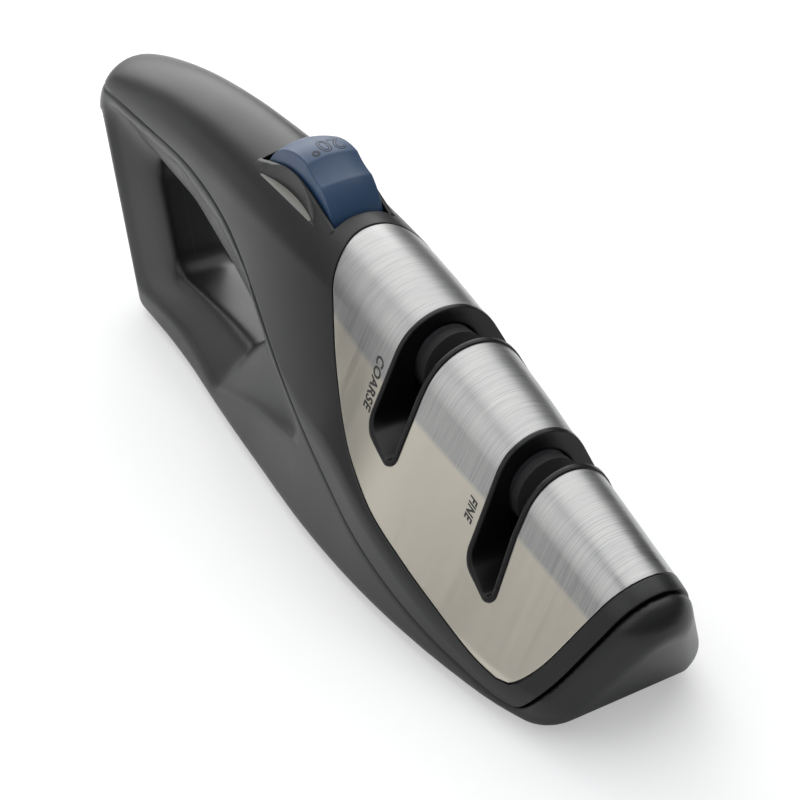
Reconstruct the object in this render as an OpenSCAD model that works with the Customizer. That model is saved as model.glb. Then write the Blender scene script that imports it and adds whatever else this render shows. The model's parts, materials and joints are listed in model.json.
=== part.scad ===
// Pull-through knife sharpener with a looped handle, two abrasive stages
// and a two-position angle selector. Nose toward +X, base on z = 0.

/* [View] */
// Sub-part to draw, or all of them

/* [Housing] */
// Widest point of the housing, side to side
body_w = 53; // [53:0.5:58]
// Wall thickness of the two plastic housings
wall = 2.3; // [1.8:0.1:2.6]
// Thickness of the floor under the works
floor_t = 3.5; // [3.2:0.1:3.6]
// Corner radius of the housing along its shoulder
shoulder_r = 9; // [7:0.5:10]
// Corner radius along the bottom edge
bottom_r = 3.5; // [2.5:0.1:3.5]
// Rounding of the rear end of the handle
rear_r = 9.2; // [8:0.1:9.4]
// Rounding of the nose around its flat front face
nose_r = 6.5; // [4:0.5:7]

/* [Handle loop] */
// How far the loop narrows from the flanks to the middle, as a share of the drawn flare
loop_flare = 1; // [0.7:0.05:1]
// Corner radius of the finger loop at the flanks
loop_r = 6; // [4:0.5:8]

/* [Steel cover] */
// Sheet thickness of the steel cover
steel_t = 0.6; // [0.4:0.05:0.6]
// Gap all round the steel cover in its recess
steel_gap = 0.35; // [0.2:0.05:0.5]

/* [Sharpening slots] */
// Wall thickness of the slot liners
liner_t = 1.5; // [1.2:0.1:1.6]
// Position of the blade line of the coarse stage
coarse_x = 40.6; // [40.4:0.1:40.8]
// Position of the blade line of the fine stage
fine_x = 74.1; // [73.9:0.1:74.3]

/* [Abrasive wheels] */
// Radius of the rear and middle wheels
wheel_r = 7.6; // [7.2:0.1:7.6]
// Radius of the front wheels
front_wheel_r = 6.2; // [5.8:0.1:6.2]
// Width of the front wheels' hub, which keeps the groove's bottom open
hub_w = 1.2; // [0.8:0.1:1.2]
// Thickness of the middle wheel, which is also the selector travel
middle_t = 4; // [3.8:0.1:4]
// Thickness of the rear and front wheels
outer_t = 2.6; // [2.4:0.1:2.6]
// Radius where the bevels of two wheels meet
bevel_r = 4.6; // [4:0.1:5]
// Height of the coarse axle
coarse_z = 48.4; // [47.6:0.1:48.4]
// Height of the fine axle
fine_z = 36.5; // [35.7:0.1:36.5]
// Radius of both axles
axle_r = 2; // [1.6:0.1:2]
// Half angle of the front groove, in degrees
groove_a = 20; // [18:1:22]
// Half angle of the rear groove, in degrees
groove_b = 15; // [13:1:17]

/* [Angle selector] */
// Swing of the selector button between its two positions, in degrees
swing = 19; // [17:1:19]
// Radius of the button's arched top
button_r = 16.6; // [16:0.1:16.8]
// Width of the button
button_w = 12.8; // [11.6:0.1:13]
// Crown height across the button's top
crown = 1.3; // [0.8:0.1:1.5]
// Distance from the button's pivot to its drive pin
lever_r = 12.1; // [11.8:0.1:12.1]
// Radius of the pivot pin
pin_r = 1.5; // [1.2:0.1:1.6]

/* [Fasteners and feet] */
// Radius of the housing screws' shanks
screw_r = 1.45; // [1.25:0.05:1.5]
// Radius of the guide screws' shanks
guide_screw_r = 1.3; // [1.1:0.05:1.3]
// How far the rubber feet stand below the housing
foot_drop = 0.8; // [0.6:0.1:0.8]
// Radius of the front and middle feet
foot_r = 5; // [4:0.1:5]

/* [Hidden] */
$fn = 64;
eps = 0.02;

// Running clearance of turning parts and press clearance of fixed ones
run = 0.05;
fit = 0.02;

// Sections along the housing: place of each one on the base line
sec_x = [-98.5, -87.5, -71.5, -56.5, -41.5, -26.5, -11.5, 3.5, 15.5, 28.5, 43.5, 58.5, 73.5, 86.5, 99.5];
// Height of the ridge at each section
sec_h = [60, 66, 70.6, 72.2, 72, 71, 69.4, 67.2, 64.8, 61.6, 57.3, 52.5, 46.9, 38.8, 31.5];
// Radius of the rounded top at each section
sec_r = [11.2, 11.6, 12, 12.4, 13, 13.8, 14.4, 14.6, 14.5, 14.1, 13.2, 12.2, 11.2, 10.6, 10.4];
// Half width at the shoulder of each section, as a share of half the body width
sec_w = [0.408, 0.426, 0.445, 0.468, 0.506, 0.577, 0.694, 0.815, 0.891, 0.947, 1, 0.981, 0.921, 0.838, 0.702];
// Height of the shoulder at each section
sec_s = [49, 55, 57.5, 57.5, 54, 49, 42, 35.5, 32, 30, 24.5, 17.5, 12, 9, 8.5];
// Half width at the base of each section, as a share of half the body width
sec_b = [0.362, 0.392, 0.445, 0.521, 0.619, 0.709, 0.785, 0.86, 0.913, 0.951, 0.966, 0.951, 0.906, 0.83, 0.664];
// Forward lean of each section, as a share of its height
sec_k = [-0.27, -0.22, -0.12, -0.04, 0, 0, 0, 0, 0, 0, 0, 0, 0, 0.25, 0.5];

last = len(sec_x) - 1;
half_w = body_w / 2;

function slope(v, k) =
    k == 0 ? (v[1] - v[0]) / (sec_x[1] - sec_x[0])
    : k == last ? (v[last] - v[last - 1]) / (sec_x[last] - sec_x[last - 1])
    : (v[k + 1] - v[k - 1]) / (sec_x[k + 1] - sec_x[k - 1]);

// Value of a section table at any place, as a smooth curve through the sections
function val(v, s) =
    let (k = max([for (i = [0 : last - 1]) if (i == 0 || s >= sec_x[i]) i]))
    let (h = sec_x[k + 1] - sec_x[k])
    let (t = (s - sec_x[k]) / h)
    (2 * t^3 - 3 * t^2 + 1) * v[k] + (t^3 - 2 * t^2 + t) * h * slope(v, k)
    + (3 * t^2 - 2 * t^3) * v[k + 1] + (t^3 - t^2) * h * slope(v, k + 1);

function dir(a) = [cos(a), sin(a)];

// Rounded corner between two edges given by the angles of their outward normals
function bend(p, a1, a2, r, n) =
    let (k = (dir(a1) + dir(a2)) / (1 + dir(a1) * dir(a2)))
    [for (i = [0 : n]) p - r * k + r * dir(a1 + (a2 - a1) * i / n)];

// Right half of the housing's section at s, inset by t, from the ridge to the base
function half_section(s, t) =
    let (h = val(sec_h, s), r = val(sec_r, s), c = [0, h - r])
    let (m = [half_w * val(sec_w, s), val(sec_s, s)], b = [half_w * val(sec_b, s), foot_drop])
    let (d = m - c)
    let (a1 = atan2(d[1], d[0]) + acos(min(1, r / norm(d))))
    let (a2 = atan2(-(m - b)[0], (m - b)[1]))
    let (k1 = (dir(a1) + dir(a2)) / (1 + dir(a1) * dir(a2)))
    let (k2 = (dir(a2) + dir(-90)) / (1 + dir(a2) * dir(-90)))
    concat(
        [for (i = [0 : 7]) c + max(r - t, 0.3) * dir(90 + (a1 - 90) * i / 7)],
        bend(m - t * k1, a1, a2, max(shoulder_r - t, 0.3), 3),
        bend(b - t * k2, a2, -90, max(bottom_r - t, 0.3), 3)
    );

function round_in(r, u) = r - sqrt(max(r^2 - max(u, 0)^2, 0));

// Extra inset that rounds off the two ends
function end_inset(s, t) =
    max(
        round_in(rear_r - t, sec_x[0] + rear_r - s),
        round_in(nose_r - t, s - sec_x[last] + nose_r)
    );

function ring(s, t) =
    let (p = half_section(s, t + end_inset(s, t)))
    let (k = val(sec_k, s), n = len(p))
    concat(
        [for (i = [n - 1 : -1 : 1]) [s + k * p[i][1], p[i][0], p[i][1]]],
        [for (i = [0 : n - 1]) [s + k * p[i][1], -p[i][0], p[i][1]]]
    );

function places(t) =
    let (a = sec_x[0] + t, b = sec_x[0] + rear_r, c = sec_x[last] - nose_r, d = sec_x[last] - t)
    concat(
        [for (i = [0 : 4]) b - (b - a) * cos(90 * i / 5)],
        [for (i = [0 : 19]) b + (c - b) * i / 19],
        [for (i = [1 : 4]) c + (d - c) * sin(90 * i / 4)]
    );

// Solid between the end rings of a list of rings with equal point counts
module skin(rings) {
    n = len(rings[0]);
    m = len(rings);
    polyhedron(
        points = [for (q = rings) each q],
        faces = concat(
            [[for (i = [0 : n - 1]) i]],
            [for (j = [0 : m - 2], i = [0 : n - 1])
                each [[j * n + i, (j + 1) * n + i, (j + 1) * n + (i + 1) % n],
                      [j * n + i, (j + 1) * n + (i + 1) % n, j * n + (i + 1) % n]]],
            [[for (i = [n - 1 : -1 : 0]) (m - 1) * n + i]]
        ),
        convexity = 6
    );
}

// Housing envelope, inset by t on all sides
module envelope(t = 0) {
    skin([for (s = places(t)) ring(s, t)]);
}

// Flat outline in the side view, carried across the full width
module across(pts, w = 90) {
    rotate([90, 0, 0])
        linear_extrude(height = w, center = true)
            polygon(pts);
}

function unit(v) = v / norm(v);

// Polygon with rounded corners: each entry is [x, z, radius]
function rounded(p, n = 5) =
    let (m = len(p))
    [for (i = [0 : m - 1])
        let (a = [p[(i + m - 1) % m][0], p[(i + m - 1) % m][1]], b = [p[i][0], p[i][1]])
        let (c = [p[(i + 1) % m][0], p[(i + 1) % m][1]], u = unit(a - b), v = unit(c - b))
        let (half = acos(max(-1, min(1, u * v))) / 2, w = unit(u + v))
        let (r = p[i][2], q = b + w * r / sin(half))
        let (s = atan2(-(u + (-w) * 0)[1], -(u)[0]))
        let (f1 = b + u * r / tan(half) - q, f2 = b + v * r / tan(half) - q)
        let (g1 = atan2(f1[1], f1[0]), g2 = atan2(f2[1], f2[0]))
        let (g = ((g2 - g1 + 540) % 360) - 180)
        each [for (k = [0 : n]) q + r * dir(g1 + g * k / n)]];

// Smooth curve through points
function smooth(p, n = 4) =
    let (m = len(p) - 1)
    concat(
        [for (i = [0 : m - 1], k = [0 : n - 1])
            let (t = k / n, a = p[max(i - 1, 0)], b = p[i], c = p[i + 1], d = p[min(i + 2, m)])
            0.5 * (2 * b + (c - a) * t + (2 * a - 5 * b + 4 * c - d) * t^2 + (3 * b - 3 * c + d - a) * t^3)],
        [p[m]]
    );

// Parting line between the two housings, from the rear end to the nose
parting = smooth([
    [-120, 58.5], [-96, 59.8], [-75, 59.8], [-57, 59.1], [-45, 57.1], [-33, 53.6], [-22, 48.6],
    [-9, 41.8], [3, 35.8], [14, 30.7], [27, 24], [40, 17.4], [55, 11.6], [68, 8.1], [80, 6.2],
    [90, 5], [94.4, 6.4], [99.2, 13.2], [103.6, 23.2], [108.6, 35.4], [113, 46]
], 3);

module shell_side() {
    across(concat(parting, [[113, 95], [-120, 95]]));
}

module frame_side() {
    across(concat(parting, [[130, 46], [130, -5], [-125, -5], [-125, 58.5]]));
}

// Outline of the steel cover in the side view, grown by g
function leaf(g) =
    concat(
        smooth([
            [7.2 - g, 80], [7.3 - g, 66.6], [9.4 - g, 63], [13 - g, 56.6 - g / 2], [20.5 - g / 2, 46 - g],
            [31.5, 35.5 - g], [41, 29 - g], [51, 23.3 - g], [67.5, 15.9 - g], [80, 11.2 - g], [87.6, 9.5 - g]
        ], 3),
        smooth([
            [90.6 + g / 2, 9.9 - g], [93 + g, 12 - g], [96.3 + g, 17], [100.6 + g, 27], [103.9 + g, 34.6],
            [108 + g, 44], [122, 80]
        ], 3)
    );

// Outline of a slot in the side view: top rear, low rear, low front and top front corners
coarse_slot = [[34.5, 80], [34.9, 57], [36.3, 38.6], [47.4, 33.2], [46, 48], [45.6, 80]];
fine_slot = [[68.8, 80], [68.9, 46], [70.6, 25.6], [81, 19.4], [79.3, 34], [78.6, 80]];

function slot(p, g) =
    rounded([
        [p[0][0] - g, p[0][1], 0.5], [p[1][0] - g, p[1][1], 4], [p[2][0] - g, p[2][1] - g, 2.8 + g],
        [p[3][0] + g, p[3][1] - g, 1.7 + g / 2], [p[4][0] + g, p[4][1], 4], [p[5][0] + g, p[5][1], 0.5]
    ]);

// Finger loop: corners at the flanks and at the middle, where each starts to flare and reaches its flank
loop_out = [[-104.6, 58], [-58, 57], [-20, 46], [19, 25], [-40, 5.6], [-95, 6]];
loop_in = [[-88, 50], [-60, 45.5], [-31.5, 35], [-22.5, 27.8], [-34, 17.6], [-78, 17]];
loop_near = [5, 7, 9, 8, 6.5, 5];
loop_far = [9, 9, 12.5, 16, 12.5, 9];
loop_reach = [11.5, 12.6, 16.5, 24, 18, 11];

function loop_outline(y) =
    rounded([for (i = [0 : 5])
        let (flat = y < 0 ? loop_near[i] : loop_far[i])
        let (t = max(0, min(1, (abs(y) - flat) / (loop_reach[i] - flat))))
        let (g = t * t * (3 - 2 * t))
        let (q = loop_out[i] + (loop_in[i] - loop_out[i]) * loop_flare * (1 - g))
        [q[0], q[1], i == 3 ? 3 : i == 1 ? 20 : loop_r]]);

module loop_hole() {
    near = [-34, -24, -20, -17.2, -15, -13, -12, -11, -10, -9, -8, -7, -6, -5];
    far = [9, 10, 11, 12, 13, 14.4, 16, 17.5, 19, 21.5, 24, 34];
    skin([for (y = concat(near, far)) [for (p = loop_outline(y)) [p[0], y, p[1]]]]);
}

// Hollow for the works, in the side view
hollow = [
    [-103, 55.8], [-45, 54.8], [-33, 51.2], [-22, 47], [-10, 42.6], [0, 38.2], [8, 34.6], [12, 31.2],
    [12, foot_drop + floor_t], [120, foot_drop + floor_t], [120, 90], [-103, 90]
];

module hollow_space() {
    intersection() {
        envelope(wall);
        across(hollow);
    }
}

// Pivot of the selector button
pivot_x = -13.2;
pivot_z = 60.9;
// Half width of the button's pocket
pocket_w = button_w / 2 + 0.4;
// The drive pin leans this far to the rear at rest
lean = swing / 2;
// Travel of the wheel carriage
travel = 2 * lever_r * sin(lean);

module about_pivot() {
    translate([pivot_x, 0, pivot_z])
        rotate([90, 0, 0])
            children();
}

// Narrow channel in both housings for the carriage's drawbar
module drawbar_channel() {
    translate([-21.5, -5, 43.6])
        cube([34, 10, 18]);
}

// Screw places: two near the handle, two in the nose
shell_screw_at = [[16, 16], [16, -16], [90, 9.5], [90, -9.5]];
boss_r = 3.2;
boss_z = foot_drop + floor_t + 1.7;

foot_at = [[0, 12, foot_r], [0, -12, foot_r], [66, 13, foot_r], [66, -13, foot_r], [-80, 0, 4.5]];
foot_seat = 1;

// Retaining tongue of the shell at the rear end
module tongue(g = 0) {
    translate([-108.5 - g, -4 - g, 54 - g])
        cube([3 + 2 * g, 8 + 2 * g, 7]);
}

// Free-form blank of the lower housing, before its bosses and bores
module frame_blank() {
    resize([0, 0, 0])
        difference() {
            intersection() {
                envelope();
                frame_side();
            }
            hollow_space();
            loop_hole();
            drawbar_channel();
            tongue(0.1);
        }
}

module lower_frame() {
    color("#3b3b3d")
    difference() {
        union() {
            frame_blank();
            for (p = shell_screw_at)
                translate([p[0], p[1], foot_drop + 1])
                    cylinder(r = boss_r, h = boss_z - foot_drop - 1 - fit);
        }
        for (p = shell_screw_at)
            translate([p[0], p[1], 0]) {
                cylinder(r = screw_r + 0.15, h = 12);
                cylinder(r = 3, h = foot_drop + 2);
            }
        for (p = foot_at)
            translate([p[0], p[1], foot_drop - 1])
                cylinder(r = p[2] + fit, h = 1 + foot_seat);
        for (p = guide_screw_at)
            translate([p[0], p[1], foot_drop + 1])
                cylinder(r = guide_screw_r + fit, h = 8);
    }
}

module bracket(side) {
    translate([-23.5, side > 0 ? pocket_w + 0.2 : -pocket_w - 2.6, 52])
        cube([14.5, 2.4, 18]);
}

// Finger ledge beside the button, from its pocket out to a straight edge along the flank
ledge_y = 9.05;
ledge_rim = 0.6;

module ledge(side) {
    skin([for (i = [0 : 10])
        let (x = pivot_x - 15.3 + 3 * i, h = val(sec_h, x), r = val(sec_r, x))
        let (z = h - r + sqrt(r^2 - ledge_y^2), w = pocket_w + ledge_rim + 0.0115 * (x - pivot_x + 0.8)^2)
        let (q = [[14, z - 1.29], [w, z + 0.26 * (ledge_y - w)], [w - 0.3, z + 6], [14, z + 6]])
        [for (k = side > 0 ? [3 : -1 : 0] : [0 : 3]) [x, side * q[k][0], q[k][1]]]]);
}

// Raised cheek along each side of the button's pocket
cheek_rise = 4.1;

module cheek(side) {
    skin([for (i = [0 : 16])
        let (x = pivot_x - 15.4 + 2 * i, h = val(sec_h, x), r = val(sec_r, x))
        let (rise = cheek_rise * max(0, sin(180 * i / 16))^1.2)
        let (top = h - r + sqrt(r^2 - pocket_w^2) - 0.1, foot = h - r + sqrt(r^2 - 9.4^2) - 0.1)
        let (q = [[pocket_w - 0.2, top - 2], [9.4, foot - 1.5], [9.4, foot], [pocket_w + 1, top + rise - 0.25],
            [pocket_w + 0.4, top + rise], [pocket_w - 0.2, top + rise]])
        [for (k = side > 0 ? [0 : 5] : [5 : -1 : 0]) [x, side * q[k][0], q[k][1]]]]);
}

// Free-form blank of the upper housing, before its bores
module shell_blank() {
    resize([0, 0, 0])
        difference() {
            union() {
                difference() {
                    intersection() {
                        envelope();
                        shell_side();
                    }
                    difference() {
                        across(leaf(steel_gap));
                        envelope(steel_t + 0.15);
                    }
                    hollow_space();
                    drawbar_channel();
                }
                intersection() {
                    union() {
                        for (p = shell_screw_at)
                            translate([p[0], p[1], boss_z])
                                cylinder(r = boss_r, h = 60);
                        bracket(1);
                        bracket(-1);
                        translate([-23.5, -pocket_w - 0.5, 52])
                            cube([5, 2 * pocket_w + 1, 3]);
                        tongue();
                    }
                    envelope(1);
                }
                cheek(1);
                cheek(-1);
            }
            ledge(1);
            ledge(-1);
            // Pocket for the button
            translate([-26.7, -pocket_w, 62])
                cube([29.4, 2 * pocket_w, 20]);
            about_pivot()
                cylinder(r = button_r + 0.4, h = 2 * pocket_w, center = true);
            across(slot(coarse_slot, fit));
            across(slot(fine_slot, fit));
            // Room for the wheels as they travel
            for (w = stages)
                translate([w[0] - middle_t - outer_t - 3, 0, w[1]])
                    rotate([0, 90, 0]) {
                        cylinder(r = wheel_r + 0.4, h = middle_t + outer_t + 3 + travel + 0.4);
                        cylinder(r = front_wheel_r + 0.4, h = middle_t + 2 * outer_t + 3 + travel + 0.6);
                    }
        }
}

module upper_shell() {
    color("#434345")
    difference() {
        shell_blank();
        about_pivot()
            cylinder(r = pin_r + fit, h = 2 * pocket_w + 5.2, center = true);
        for (p = shell_screw_at)
            translate([p[0], p[1], 0])
                cylinder(r = screw_r + fit, h = 20.5);
        translate([-21, cam_y, 50])
            cylinder(r = 0.9 + fit, h = 6);
    }
}

module steel_cover() {
    color("#b9b6b0")
    difference() {
        intersection() {
            difference() {
                envelope(0.08);
                envelope(0.08 + steel_t);
            }
            across(leaf(0));
        }
        across(slot(coarse_slot, fit));
        across(slot(fine_slot, fit));
    }
}

// Blade line and axle height of each stage
stages = [[coarse_x, coarse_z], [fine_x, fine_z]];

// Liner of one slot: walls and a sloping floor, open at both flanks, with an arch over the wheels
module liner(p, stage, deep) {
    difference() {
        intersection() {
            envelope(0.02);
            across(slot(p, -fit));
            translate([p[0][0] - 5, -40, deep])
                cube([25, 80, 80]);
        }
        across(slot(p, -liner_t));
        translate([stage[0] - 10, 0, stage[1]])
            rotate([0, 90, 0])
                cylinder(r = wheel_r + 0.4, h = 12);
        translate([stage[0], 0, stage[1]])
            rotate([0, 90, 0])
                cylinder(r = front_wheel_r + 0.4, h = 12);
        translate([stage[0] - 10, -wheel_r - 0.4, stage[1] - 40])
            cube([24, 2 * wheel_r + 0.8, 40]);
    }
}

module coarse_slot_liner() {
    color("#1d1d1f")
    liner(coarse_slot, stages[0], 30);
}

module fine_slot_liner() {
    color("#1d1d1f")
    liner(fine_slot, stages[1], 17);
}

// Profile of the button's arched band: radius outward, width across
function band(inner) =
    let (w = button_w / 2, cr = (w^2 + crown^2) / (2 * crown))
    concat(
        [[inner, -w], [button_r - crown - 0.3, -w]],
        [for (i = [-6 : 6]) let (y = (w - 0.3) * i / 6) [button_r - cr + sqrt(cr^2 - y^2), y]],
        [[button_r - crown - 0.3, w], [inner, w]]
    );

band_from = -2;
band_to = 145;

module angle_button() {
    color("#3c5578")
    difference() {
        union() {
            about_pivot()
                rotate([0, 0, band_from])
                    rotate_extrude(angle = band_to - band_from)
                        polygon(band(12.6));
            // Cheeks down to the hub
            for (side = [-1, 1])
                translate([0, side * (button_w / 2 - 0.75), 0])
                    about_pivot()
                        intersection() {
                            cylinder(r = 13, h = 1.3, center = true);
                            translate([-20, -2.6, -5])
                                cube([40, 30, 10]);
                        }
            about_pivot()
                cylinder(r = 3.2, h = button_w - 0.2, center = true);
            // Detent cam with two flats, one for each position
            translate([0, cam_y, 0])
                about_pivot()
                    intersection() {
                        cylinder(r = 5.2, h = cam_w, center = true);
                        flats();
                    }
            // Drive arm and its pin
            translate([pivot_x, 0, pivot_z])
                rotate([0, lean, 0])
                    translate([-1.6, -1.7, -lever_r])
                        cube([3.2, 3.4, lever_r]);
            translate([drive_x, 0, drive_z])
                rotate([90, 0, 0])
                    cylinder(r = 1.9, h = 3.6, center = true);
        }
        about_pivot()
            cylinder(r = pin_r + run, h = 40, center = true);
        // Finger dish across the top
        about_pivot()
            rotate([0, 0, 64])
                translate([33.5, 0, 0])
                    cylinder(r = 17.9, h = 30, center = true);
    }
}

cam_y = 3.2;
cam_w = 2.5;
flat_r = 4.6;

// Side of the cam that its two flats leave standing
module flats() {
    intersection() {
        rotate([0, 0, 180])
            translate([-20, -10, -5])
                cube([20 + flat_r, 20, 10]);
        rotate([0, 0, 180 - swing])
            translate([-20, -10, -5])
                cube([20 + flat_r, 20, 10]);
    }
}

module button_pivot_pin() {
    color("#a9adb2")
    about_pivot()
        cylinder(r = pin_r, h = 2 * pocket_w + 5, center = true);
}

module detent_spring() {
    color("#c4c8cc")
    difference() {
        union() {
            translate([pivot_x - flat_r - 0.5, cam_y - cam_w / 2, 55])
                cube([0.4, cam_w, 10.2]);
            translate([-23, cam_y - cam_w / 2, 55])
                cube([pivot_x - flat_r - 0.1 + 23, cam_w, 0.4]);
        }
        translate([-21, cam_y, 54])
            cylinder(r = 0.9 + fit, h = 3);
    }
}

module detent_spring_screw() {
    color("#8f9398")
    translate([-21, cam_y, 0]) {
        translate([0, 0, 52.6])
            cylinder(r = 0.9, h = 3);
        translate([0, 0, 55.4])
            cylinder(r = 1.7, h = 1);
    }
}

// Plates that hold an axle at both ends of a wheel pack
plate_t = 2.2;
plate_gap = 0.3;
plate_r = 5;
base_z = 10;

function pack_rear(s) = s[0] - middle_t - outer_t - plate_gap - plate_t;
function pack_front(s) = s[0] + outer_t + plate_gap;

module plate(x, s) {
    difference() {
        union() {
            translate([x, -plate_r, base_z])
                cube([plate_t, 2 * plate_r, s[1] - base_z]);
            translate([x, 0, s[1]])
                rotate([0, 90, 0])
                    cylinder(r = plate_r, h = plate_t);
        }
        translate([x - 40, -20, s[1] + 3.1])
            cube([80, 40, 10]);
        translate([x - 1, 0, s[1]])
            rotate([0, 90, 0])
                cylinder(r = axle_r + fit, h = plate_t + 2);
    }
}

drive_x = pivot_x - lever_r * sin(lean);
drive_z = pivot_z - lever_r * cos(lean);

module wheel_carriage() {
    color("#6a6d70")
    difference() {
        union() {
            for (s = stages) {
                plate(pack_rear(s), s);
                plate(pack_front(s), s);
                translate([pack_rear(s), -1.6, base_z])
                    cube([pack_front(s) + plate_t - pack_rear(s), 3.2, s[1] - wheel_r - 1.4 - base_z]);
            }
            translate([pack_rear(stages[0]), -8, base_z])
                cube([pack_front(stages[1]) + plate_t - pack_rear(stages[0]), 16, 3]);
            translate([drive_x + 3, -3, 45.2])
                cube([pack_rear(stages[0]) - drive_x - 2.5, 6, 3.8]);
            translate([drive_x - 4.2, -4, 45.2])
                cube([8.4, 8, 5.6]);
        }
        translate([drive_x - 1.9 - run, -10, drive_z - 2.3])
            cube([3.8 + 2 * run, 20, 8]);
        translate([pack_rear(stages[0]) - 1, 0, coarse_z])
            rotate([0, 90, 0])
                cylinder(r = axle_r + fit, h = plate_t + 2);
    }
}

module axle(s) {
    translate([pack_rear(s), 0, s[1]])
        rotate([0, 90, 0])
            cylinder(r = axle_r, h = pack_front(s) + plate_t - pack_rear(s));
}

module coarse_axle() {
    color("#b4b8bc")
    axle(stages[0]);
}

module fine_axle() {
    color("#b4b8bc")
    axle(stages[1]);
}

// Abrasive wheel from x to x + t, with a bevel angle on its rear and front faces, 0 for none
module wheel(s, x, t, r, rear_a, front_a) {
    g = 0.03;
    b1 = rear_a > 0 ? (r - bevel_r) * tan(rear_a) : 0;
    b2 = front_a > 0 ? (r - bevel_r) * tan(front_a) : 0;
    r1 = rear_a > 0 ? bevel_r : r;
    r2 = front_a > 0 ? bevel_r : r;
    translate([x, 0, s[1]])
        rotate([0, 90, 0])
            rotate_extrude($fn = 96)
                polygon([[axle_r + run, g], [r1, g], [r, b1 + g], [r, t - b2 - g], [r2, t - g], [axle_r + run, t - g]]);
}

module rear_wheel(s) {
    wheel(s, s[0] - middle_t - outer_t, outer_t, wheel_r, 0, groove_b);
}

module middle_wheel(s) {
    wheel(s, s[0] - middle_t, middle_t, wheel_r, groove_b, groove_a);
}

module front_wheel(s) {
    wheel(s, s[0] + hub_w, outer_t - hub_w, front_wheel_r, groove_a, 0);
    translate([s[0], 0, s[1]])
        rotate([0, 90, 0])
            rotate_extrude($fn = 96)
                polygon([[axle_r + run, 0.03], [bevel_r - 0.2, 0.03], [bevel_r - 0.2, hub_w + 0.05], [axle_r + run, hub_w + 0.05]]);
}

module coarse_rear_wheel() {
    color("#55565a")
    rear_wheel(stages[0]);
}

module coarse_middle_wheel() {
    color("#55565a")
    middle_wheel(stages[0]);
}

module coarse_front_wheel() {
    color("#55565a")
    front_wheel(stages[0]);
}

module fine_rear_wheel() {
    color("#8d8f93")
    rear_wheel(stages[1]);
}

module fine_middle_wheel() {
    color("#8d8f93")
    middle_wheel(stages[1]);
}

module fine_front_wheel() {
    color("#8d8f93")
    front_wheel(stages[1]);
}

// Guide channel for the carriage, bolted to the floor
guide_x0 = pack_rear(stages[0]) - 3.1;
guide_x1 = pack_front(stages[1]) + plate_t + travel + 3.1;
guide_z = foot_drop + floor_t;
guide_screw_at = [[37, 13.3], [37, -13.3], [76, 13.3], [76, -13.3]];

module guide_section(pts, x0, x1) {
    translate([x0, 0, 0])
        rotate([90, 0, 90])
            linear_extrude(height = x1 - x0)
                polygon(pts);
}

module carriage_guide() {
    color("#55585b")
    difference() {
        guide_section([[-15.8, guide_z], [15.8, guide_z], [15.8, 6.8], [11, 6.8], [11, 15], [-11, 15], [-11, 6.8], [-15.8, 6.8]],
            guide_x0, guide_x1);
        guide_section([[-8 - run, base_z - run], [8 + run, base_z - run], [8 + run, base_z + 3 + run], [-8 - run, base_z + 3 + run]],
            guide_x0 + 3, guide_x1 - 3);
        guide_section([[-6.4, base_z], [6.4, base_z], [6.4, 20], [-6.4, 20]], guide_x0 - 1, guide_x1 + 1);
        guide_section([[-5.5, 0], [5.5, 0], [5.5, 7.6], [-5.5, 7.6]], guide_x0 - 1, guide_x1 + 1);
        for (p = guide_screw_at)
            translate([p[0], p[1], 0])
                cylinder(r = guide_screw_r + 0.1, h = 20);
    }
}

module carriage_guide_screws() {
    color("#8f9398")
    for (p = guide_screw_at)
        translate([p[0], p[1], 0]) {
            translate([0, 0, foot_drop + 1.2])
                cylinder(r = guide_screw_r, h = 6.8 - foot_drop - 1);
            translate([0, 0, 6.8])
                cylinder(r = 2.2, h = 1.5);
        }
}

module shell_screws() {
    color("#8f9398")
    for (p = shell_screw_at)
        translate([p[0], p[1], 0])
            difference() {
                union() {
                    translate([0, 0, foot_drop + 1])
                        cylinder(r = screw_r, h = 18);
                    translate([0, 0, foot_drop + 0.4])
                        cylinder(r = 2.8, h = 1.6);
                }
                for (a = [0, 90])
                    rotate([0, 0, a])
                        translate([-1.6, -0.35, foot_drop])
                            cube([3.2, 0.7, 1.3]);
            }
}

module rubber_feet() {
    color("#2a2a2b")
    for (p = foot_at)
        translate([p[0], p[1], 0])
            cylinder(r = p[2], h = foot_drop + foot_seat);
}

lower_frame();
upper_shell();
steel_cover();
coarse_slot_liner();
fine_slot_liner();
angle_button();
button_pivot_pin();
detent_spring();
detent_spring_screw();
wheel_carriage();
coarse_axle();
fine_axle();
coarse_rear_wheel();
coarse_middle_wheel();
coarse_front_wheel();
fine_rear_wheel();
fine_middle_wheel();
fine_front_wheel();
carriage_guide();
carriage_guide_screws();
shell_screws();
rubber_feet();
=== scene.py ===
"""Looks of the knife sharpener: fine housings, steel, liners, button, lettering, light and camera."""

import json
import math

import bpy
import numpy as np
from mathutils import Matrix, Vector

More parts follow.
